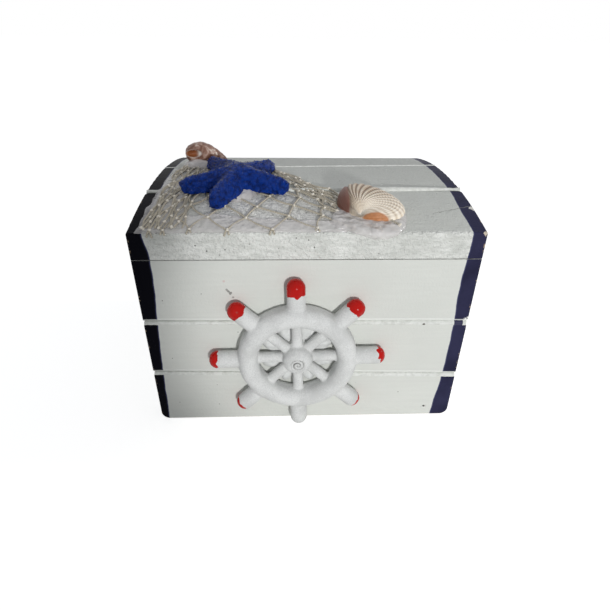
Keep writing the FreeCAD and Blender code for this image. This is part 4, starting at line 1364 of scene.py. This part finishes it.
def makeArkShell():
    halfLong, halfWide = arkShell["half"]
    beakU, beakV = arkShell["beak"]
    middleX, middleBack = arkShell["middle"]
    turn = math.radians(arkShell["turn"])
    begin, end = arkShell["fan"]
    ribbed = np.linspace(begin, end, arkShell["ribs"] * arkShell["stepsPerRib"], endpoint=False)
    plain = np.linspace(end, begin - 360, arkShell["plainSteps"], endpoint=False)
    rim = np.concatenate([ribbed, plain])
    around, steps = len(rim), arkShell["growthSteps"]
    growth = 1 - (1 - np.linspace(0.0, 1.0, steps + 1)[1:, None]) ** arkShell["crowding"]

    # the way from the beak to each place on the rim, swung aside near the beak
    angle = np.radians(rim)
    square = np.where(np.cos(angle) < 0, arkShell["square"], 2.0)
    wayU = halfLong * np.sign(np.cos(angle)) * np.abs(np.cos(angle)) ** (2 / square) - beakU
    wayV = halfWide * np.sign(np.sin(angle)) * np.abs(np.sin(angle)) ** (2 / square) - beakV
    swing = np.radians(np.interp(rim, *zip(*arkShell["bend"]))) * (1 - growth)
    u = beakU + growth * (wayU * np.cos(swing) - wayV * np.sin(swing))
    v = beakV + growth * (wayU * np.sin(swing) + wayV * np.cos(swing))

    def rimShare(u, v):
        square = np.where(u < 0, arkShell["square"], 2.0)
        return (np.abs(u / halfLong) ** square + np.abs(v / halfWide) ** square) ** (1 / square)

    def domeHeight(u, v):
        blunt = np.interp(u / halfLong, (-0.9, 0.2), arkShell["blunt"])
        tall = arkShell["height"] * (1 - arkShell["taper"] * u / halfLong)
        return tall * np.sqrt(1 - np.minimum(rimShare(u, v), 1.0) ** blunt)

    # a way that swings out past the rim is held in
    held = np.maximum(rimShare(u, v), 1.0)
    u, v = u / held, v / held
    h = domeHeight(u, v)

    # ribs stand off the dome, with narrow furrows between them
    fan = np.arange(around)[None] / arkShell["stepsPerRib"]
    inFan = np.clip(np.minimum(fan, arkShell["ribs"] - fan) * 1.5, 0, 1)
    inFan = inFan * np.interp(fan, np.linspace(0, arkShell["ribs"], 3), arkShell["furrows"])
    rib = 1 - inFan * (0.5 - 0.5 * np.cos(2 * math.pi * (fan + 0.5))) ** arkShell["furrowNarrow"]
    rib = np.broadcast_to(rib, u.shape)
    lobe = arkShell["lobe"]
    past = middleX + u * math.cos(turn) - v * math.sin(turn) - lobe["edge"]
    lobed = np.clip(0.5 - past / lobe["blend"], 0, 1)
    relief = (rib - 0.7) * arkShell["ribHeight"] * np.clip(growth * 7, 0, 1) * (1 - lobed)
    relief -= lobe["furrow"] * np.exp(-(past / lobe["width"]) ** 2)
    grid = np.stack([u, v, h], -1)
    across, outward = np.roll(grid, -1, 1) - np.roll(grid, 1, 1), np.gradient(grid, axis=0)
    normal = np.cross(across, outward)
    normal /= np.maximum(np.linalg.norm(normal, axis=2, keepdims=True), 1e-9)
    u, v, h = np.moveaxis(grid + normal * relief[..., None], 2, 0)

    # the worn patch and the brown rows
    patch = arkShell["worn"]
    oval = ((u - patch["at"][0]) / patch["half"][0]) ** 2 + ((h - patch["at"][1]) / patch["half"][1]) ** 2
    worn = np.clip((patch["reach"] - oval) / patch["blend"], 0, 1) * (v < patch["before"])
    rows = arkShell["brownRows"]
    begun = np.clip((growth - np.interp(u, rows["ways"], rows["from"])) / rows["blend"], 0, 1)
    brown = begun * np.interp(u, rows["fadeWays"], rows["fade"])

    points = []
    beakHeight = float(domeHeight(np.float64(beakU), np.float64(beakV)))
    for a, b, level in [(beakU, beakV, beakHeight), *zip(u.ravel(), v.ravel(), h.ravel())]:
        x = middleX + a * math.cos(turn) - b * math.sin(turn)
        back = middleBack + a * math.sin(turn) + b * math.cos(turn)
        points.append(lidPoint(x, max(back, 0.0), max(level, 0.0) + arkShell["seat"]))
    closed = tuple(range(len(points) - around, len(points)))
    mesh = newMesh("arkShell", points, [], discFaces(steps, around) + [closed])
    addFloat(mesh, "growth", [0.0, *np.broadcast_to(growth, u.shape).ravel()])
    addFloat(mesh, "rib", [1.0, *rib.ravel()])
    addFloat(mesh, "lobe", [0.0, *lobed.ravel()])
    addFloat(mesh, "worn", [0.0, *worn.ravel()])
    addFloat(mesh, "brown", [0.0, *brown.ravel()])
    obj = newObject("ribbedArkShell", mesh)
    makePiece(obj, shellPorcelain(), "lid", "sea_shell", "ribbed_shell")
    print("ark shell:", arkShell["ribs"], "ribs,", len(mesh.polygons), "faces")


makeArkShell()

# Snail shell: whorls wound on one axis, the mouth on its front with a white pillar lip
snail = {
    "belly": (-40.7, 60.0),
    "turn": 193.0,
    "axisLevel": 4.9,
    "floor": 0.9,
    # way from the tip, radius there and whorls up to there
    "whorls": [
        (0.0, 0.0, 0.0), (0.9, 1.0, 0.9), (2.2, 1.65, 1.9), (3.6, 2.35, 2.7), (5.6, 3.2, 3.5),
        (8.0, 4.0, 4.3), (10.4, 4.4, 4.6), (13.0, 4.0, 4.7), (15.2, 3.0, 4.8), (16.3, 1.7, 4.8),
        (16.6, 0.0, 4.8),
    ],
    "roundings": 6,
    "bellyAt": 10.4,
    "tipDrop": 3.0,
    "suture": 0.09,
    "sutureEnds": (6.5, 9.5),
    "rows": 130,
    "around": 120,
    # the mouth's pit: where along the axis, how high it looks, its half sizes along, up and in, and its lip
    "mouth": {
        "along": 3.2, "out": 3.9, "look": 8.0, "half": (2.9, 1.35, 2.3), "lipReach": 1.35, "lipShade": 0.6,
    },
    "pillar": {"at": -0.85, "width": 0.3, "height": 0.8},
    "brown": "#87604e",
    "cream": "#f0e4d4",
    "pink": "#b08d7e",
    "dark": "#714d3e",
    "inside": "#a8683f",
    "lip": "#f0e9e0",
}


def snailLime():
    # polished snail shell: brown and pink clouds marbled over cream, amber inside the mouth
    material, add, shader, place = newMaterial("snailShellLime")
    cloud = add("ShaderNodeTexNoise", {
        "Vector": place, "Scale": 0.27, "Detail": 4.0, "Roughness": 0.58, "Distortion": 1.2,
    })
    ramp = add("ShaderNodeValToRGB", {"Fac": cloud})
    setRamp(ramp, [
        (0.36, snail["dark"]), (0.48, snail["brown"]), (0.58, snail["pink"]), (0.68, snail["cream"]),
    ])
    inner = add("ShaderNodeAttribute", attribute_name="inner").outputs["Fac"]
    lip = add("ShaderNodeAttribute", attribute_name="lip").outputs["Fac"]
    within = add("ShaderNodeMix", {0: inner, 6: ramp, 7: snail["inside"]}, data_type="RGBA")
    colour = add("ShaderNodeMix", {0: lip, 6: within, 7: snail["lip"]}, data_type="RGBA")
    bump = add("ShaderNodeBump", {"Height": cloud, "Distance": 0.08 * mm})
    setInputs(shader, {
        "Base Color": colour, "Roughness": 0.3, "Normal": bump, "IOR": 1.5, "Specular IOR Level": 0.35,
    })
    return material


def snailMouth(a, side, level):
    # a place on the whorl, drawn in where the mouth is, and how far it is inside and on the lip
    mouth, pillar = snail["mouth"], snail["pillar"]
    look = math.radians(mouth["look"])
    da = (a - mouth["along"]) / mouth["half"][0]
    out = side * math.cos(look) + level * math.sin(look)
    up = level * math.cos(look) - side * math.sin(look)
    flat = da ** 2 + (up / mouth["half"][1]) ** 2
    if out <= 0 or flat >= mouth["lipReach"]:
        return side, level, 0.0, 0.0
    if flat >= 1:
        return side, level, 0.0, mouth["lipShade"] * (mouth["lipReach"] - flat) / (mouth["lipReach"] - 1)
    # the wall goes in to the pit's floor, but the pillar stands up in it
    depth = math.sqrt(1 - flat)
    ridge = math.exp(-((da - pillar["at"]) / pillar["width"]) ** 2)
    pit = min(out, mouth["out"] - mouth["half"][2] * depth * (1 - pillar["height"] * ridge))
    side += (pit - out) * math.cos(look)
    level += (pit - out) * math.sin(look)
    return side, level, min(1.0, depth * 3), ridge


def makeSnail():
    ways, radii, counts = zip(*snail["whorls"])
    rows = np.linspace(0.0, 1.0, snail["rows"])
    along = ways[-1] * (0.5 - 0.5 * np.cos(math.pi * rows))
    radius = np.interp(along, ways, radii)
    # the measured steps are rounded off between the ends
    for _ in range(snail["roundings"]):
        radius[1:-1] = (radius[:-2] + 2 * radius[1:-1] + radius[2:]) / 4
    whorl = np.interp(along, ways, counts)
    turn, around = math.radians(snail["turn"]), snail["around"]
    points, inner, lip = [], [], []

    def addPoint(a, side, level, isIn, isLip):
        x = snail["belly"][0] + a * math.cos(turn) - side * math.sin(turn)
        back = snail["belly"][1] + a * math.sin(turn) + side * math.cos(turn)
        drop = snail["tipDrop"] * (min(a, 0.0) / snail["bellyAt"]) ** 2  # the tip leans down to the lid
        points.append(lidPoint(x, back, max(snail["axisLevel"] + level - drop, snail["floor"])))
        inner.append(isIn)
        lip.append(isLip)

    fades = np.interp(along, snail["sutureEnds"], (1.0, 0.0))
    for way, r, w, fade in zip(along[1:-1], radius[1:-1], whorl[1:-1], fades[1:-1]):
        for step in range(around):
            spin = 2 * math.pi * step / around
            bulge = abs(math.sin(math.pi * (w - step / around))) ** 0.6
            reach = r * (1 - snail["suture"] * fade * (1 - bulge))
            a = way - snail["bellyAt"]
            addPoint(a, *snailMouth(a, reach * math.cos(spin), reach * math.sin(spin)))
    for end in (along[0], along[-1]):
        addPoint(end - snail["bellyAt"], 0, 0, 0.0, 0.0)
    tip = len(points) - 2
    faces = ringFaces(snail["rows"] - 2, around)
    for step in range(around):
        after = (step + 1) % around
        faces.append((tip, after, step))
        faces.append((tip + 1, tip - around + step, tip - around + after))
    mesh = newMesh("snailShell", points, [], faces)
    addFloat(mesh, "inner", inner)
    addFloat(mesh, "lip", lip)
    obj = newObject("spiralSnailShell", mesh)
    makePiece(obj, snailLime(), "lid", "sea_shell", "snail_shell")
    print("snail shell:", len(faces), "faces")


makeSnail()

# Hot glue: poured films that thin out to a wandering edge
glue = {
    "step": 0.4,
    "margin": 2,
    "sunk": -0.08,
    "lift": 0.05,
    "thinnest": 0.03,
    "lumpScale": 1.9,
    "lumpShift": (4.1, 2.7, 0),
    "edge": {
        "outline": [
            (-52.4, 0.3), (12.0, 0.4), (12.0, 5.5), (-2.0, 7.0), (-15.0, 7.8), (-30.0, 10.5), (-38.0, 9.5),
            (-41.0, 22.0), (-42.0, 38.0), (-31.0, 59.0), (-33.0, 66.0), (-45.0, 67.0), (-50.0, 45.0),
        ],
        "height": 0.65, "shoulder": 0.9, "wander": 0.8, "lump": 0.4, "cell": 4.5, "seed": 2.0,
        # heaped against the snail shell: where, half sizes and height
        "heap": {"at": (-41.5, 56.0), "half": (8.0, 5.0), "height": 2.6},
    },
    "starfish": {
        "outline": [
            (-32.4, 24.4), (-28.4, 19.8), (-23.4, 18.8), (-18.6, 20.8), (-16.6, 25.4), (-18.5, 31.4),
            (-25.0, 34.0), (-31.0, 30.4),
        ],
        "height": 2.3, "shoulder": 5.0, "wander": 0.6, "lump": 0.3, "cell": 3.0, "seed": 5.0,
    },
    "shell": {
        "outline": [
            (6.6, 6.0), (8.4, 2.0), (13.0, 0.5), (16.5, -0.6), (20.0, -1.9), (24.0, -1.7), (27.0, -0.6),
            (29.4, 1.8), (31.2, 5.5), (31.0, 13.0), (27.6, 18.0), (19.0, 21.0), (11.5, 18.5), (8.2, 12.0),
        ],
        "height": 1.3, "shoulder": 2.2, "wander": 0.9, "lump": 0.35, "cell": 4.2, "seed": 9.0,
    },
    "milk": "#f1edec",
    "clear": 0.33,
    "milky": 0.64,
    "milkyAt": 1.8,
}


def hotGlue():
    # ethylene glue: glossy, clear where thin, milky where it stands thick
    material, add, shader, place = newMaterial("hotGlueMilky")
    thick = add("ShaderNodeAttribute", attribute_name="thick").outputs["Fac"]
    cloud = add("ShaderNodeTexNoise", {"Vector": place, "Scale": 0.5, "Detail": 2.0})
    body = add("ShaderNodeMapRange", {
        0: thick, 1: 0.0, 2: glue["milkyAt"], 3: glue["clear"], 4: glue["milky"],
    })
    hazy = add("ShaderNodeMath", {0: cloud, 1: 0.24, 2: -0.12}, operation="MULTIPLY_ADD")
    alpha = add("ShaderNodeMath", {0: body, 1: hazy}, operation="ADD", use_clamp=True)
    bump = add("ShaderNodeBump", {"Height": cloud, "Distance": 0.9 * mm})
    setInputs(shader, {
        "Base Color": glue["milk"], "Roughness": 0.1, "Alpha": alpha, "Normal": bump, "IOR": 1.48,
    })
    return material


def outlineDepth(x, y, outline):
    # how far inside the outline a place lies, below zero outside
    nearest = np.full(x.shape, 1e9)
    within = np.zeros(x.shape, dtype=bool)
    for (ax, ay), (bx, by) in zip(outline, outline[1:] + outline[:1]):
        dx, dy = bx - ax, by - ay
        share = np.clip(((x - ax) * dx + (y - ay) * dy) / (dx * dx + dy * dy), 0, 1)
        nearest = np.minimum(nearest, np.hypot(x - ax - share * dx, y - ay - share * dy))
        if dy:
            crosses = ((ay > y) != (by > y)) & (x < dx * (y - ay) / dy + ax)
            within ^= crosses
    return np.where(within, nearest, -nearest)


def pourGlue(name, sizes, material, node):
    step, margin = glue["step"], glue["margin"]
    xs, ys = (np.arange(min(way) - margin, max(way) + margin, step) for way in zip(*sizes["outline"]))
    gridX, gridY = np.meshgrid(xs, ys, indexing="ij")
    depth = outlineDepth(gridX, gridY, sizes["outline"])
    lumps = np.zeros(depth.shape)
    for i, x in enumerate(xs):
        for j, y in enumerate(ys):
            spot = Vector((x, y, sizes["seed"] * 7.3)) / sizes["cell"]
            depth[i, j] += sizes["wander"] * noise.noise(spot)
            lumps[i, j] = noise.noise(spot * glue["lumpScale"] + Vector(glue["lumpShift"]))
    slopeX, slopeY = np.gradient(depth, step)
    slope = np.maximum(slopeX ** 2 + slopeY ** 2, 0.25)
    rise = np.clip(depth / sizes["shoulder"], 0, 1)
    thick = sizes["height"] * np.sqrt(rise * (2 - rise)) * (1 + sizes["lump"] * lumps)
    if "heap" in sizes:
        heap = sizes["heap"]
        awayX, awayY = (gridX - heap["at"][0]) / heap["half"][0], (gridY - heap["at"][1]) / heap["half"][1]
        thick += heap["height"] * np.clip(1 - awayX ** 2 - awayY ** 2, 0, 1) ** 1.5 * rise
    thick = np.where(depth > 0, np.maximum(thick, glue["thinnest"]), 0.0)

    # cells that reach inside are kept, and their outer corners are drawn in to the edge
    index, points, below, thickness, top = {}, [], [], [], []
    for i, j in np.ndindex(len(xs) - 1, len(ys) - 1):
        if not (depth[i:i + 2, j:j + 2] > 0).any():
            continue
        corners = ((i, j), (i + 1, j), (i + 1, j + 1), (i, j + 1))
        for corner in corners:
            if corner not in index:
                pull = min(depth[corner], 0.0) / slope[corner]
                x = gridX[corner] - pull * slopeX[corner]
                y = gridY[corner] - pull * slopeY[corner]
                index[corner] = len(points)
                points.append(lidPoint(x, y, thick[corner] + glue["lift"]))
                below.append(lidPoint(x, y, glue["sunk"]))
                thickness.append(thick[corner])
        top.append(tuple(index[corner] for corner in corners))

    # the underside lies just inside the board, and a wall joins it to the top all round
    count = len(points)
    sides = [(a, b) for face in top for a, b in zip(face, face[1:] + face[:1])]
    rim = set(sides) - {(b, a) for a, b in sides}
    walls = [(b, a, a + count, b + count) for a, b in sorted(rim)]
    under = [tuple(corner + count for corner in reversed(face)) for face in top]
    mesh = newMesh(name, points + below, [], top + walls + under)
    addFloat(mesh, "thick", thickness * 2)
    makePiece(newObject(name, mesh), material, "lid", "hot_glue", node)
    print(name, len(mesh.polygons), "faces")


def makeGlue():
    material = hotGlue()
    pourGlue("edgeGlueFilm", glue["edge"], material, "edge_glue")
    pourGlue("starfishGlueBlob", glue["starfish"], material, "starfish_glue")
    pourGlue("shellGlueBead", glue["shell"], material, "shell_glue")


makeGlue()

# White plaster flash behind the wheel's hub, squeezed out between the spokes
wheelPad = {
    "radius": 11.6,
    "lobe": 1.8,
    "spokes": 8,
    "turn": 1.2,
    "height": 0.75,
    "lump": 0.85,
    "wander": 1.3,
    "wanderScale": 2.3,
    "lumpScale": 2.1,
    "rough": 0.2,
    "roughScale": 0.7,
    "seed": 3.0,
    "thinnest": 0.02,
    "behind": 0.1,
    "rings": 26,
    "around": 160,
    "white": "#eef0ee",
}


def padPlaster():
    # set plaster: chalk white and slightly pitted
    material, add, shader, place = newMaterial("plasterFlash")
    pits = add("ShaderNodeTexNoise", {"Vector": place, "Scale": 0.9, "Detail": 4.0})
    colour = add("ShaderNodeMix", {0: pits, 6: wheel["shade"], 7: wheelPad["white"]}, data_type="RGBA")
    bump = add("ShaderNodeBump", {"Height": pits, "Distance": 0.2 * mm})
    setInputs(shader, {
        "Base Color": colour, "Roughness": 0.6, "Normal": bump, "IOR": 1.45, "Specular IOR Level": 0.35,
    })
    return material


def makeWheelPad():
    around, turn = wheelPad["around"], math.radians(wheelPad["turn"])
    points = [wheelPoint(0, 0, wheelPad["height"])]
    for ring in range(1, wheelPad["rings"] + 1):
        share = ring / wheelPad["rings"]
        for step in range(around):
            angle = 2 * math.pi * step / around
            way = Vector((math.cos(angle), math.sin(angle), 0))
            spot = way * wheelPad["wanderScale"] + Vector((0, 0, wheelPad["seed"]))
            between = 0.5 - 0.5 * math.cos(wheelPad["spokes"] * angle)
            lobed = wheelPad["lobe"] * (2 * between - 1) + wheelPad["wander"] * noise.noise(spot)
            radius = (wheelPad["radius"] + lobed) * share
            lumpy = 0.7 + 0.9 * noise.noise(spot * wheelPad["lumpScale"])
            lump = wheelPad["lump"] * between * math.sin(math.pi * share ** 3) * lumpy
            rough = wheelPad["rough"] * noise.noise(way * radius * wheelPad["roughScale"])
            height = (wheelPad["height"] * (1 + rough) + lump) * min(1.0, (1 - share) * 7) ** 0.5
            points.append(wheelPoint(radius, turn - angle, max(height, wheelPad["thinnest"])))
    # the rim turns back into the board and closes there
    points += [Vector((p.x, (wheelPad["behind"] - chest["halfDepth"]) * mm, p.z)) for p in points[-around:]]
    points.append(wheelPoint(0, 0, -wheelPad["behind"]))
    last = len(points) - 1
    faces = discFaces(wheelPad["rings"] + 1, around)
    faces += [(last, last - around + step, last - around + (step + 1) % around) for step in range(around)]
    obj = newObject("wheelPlasterPad", newMesh("wheelPad", points, [], faces))
    makePiece(obj, padPlaster(), "chest", "hot_glue", "wheel_glue")
    print("wheel pad:", len(faces), "faces")


makeWheelPad()
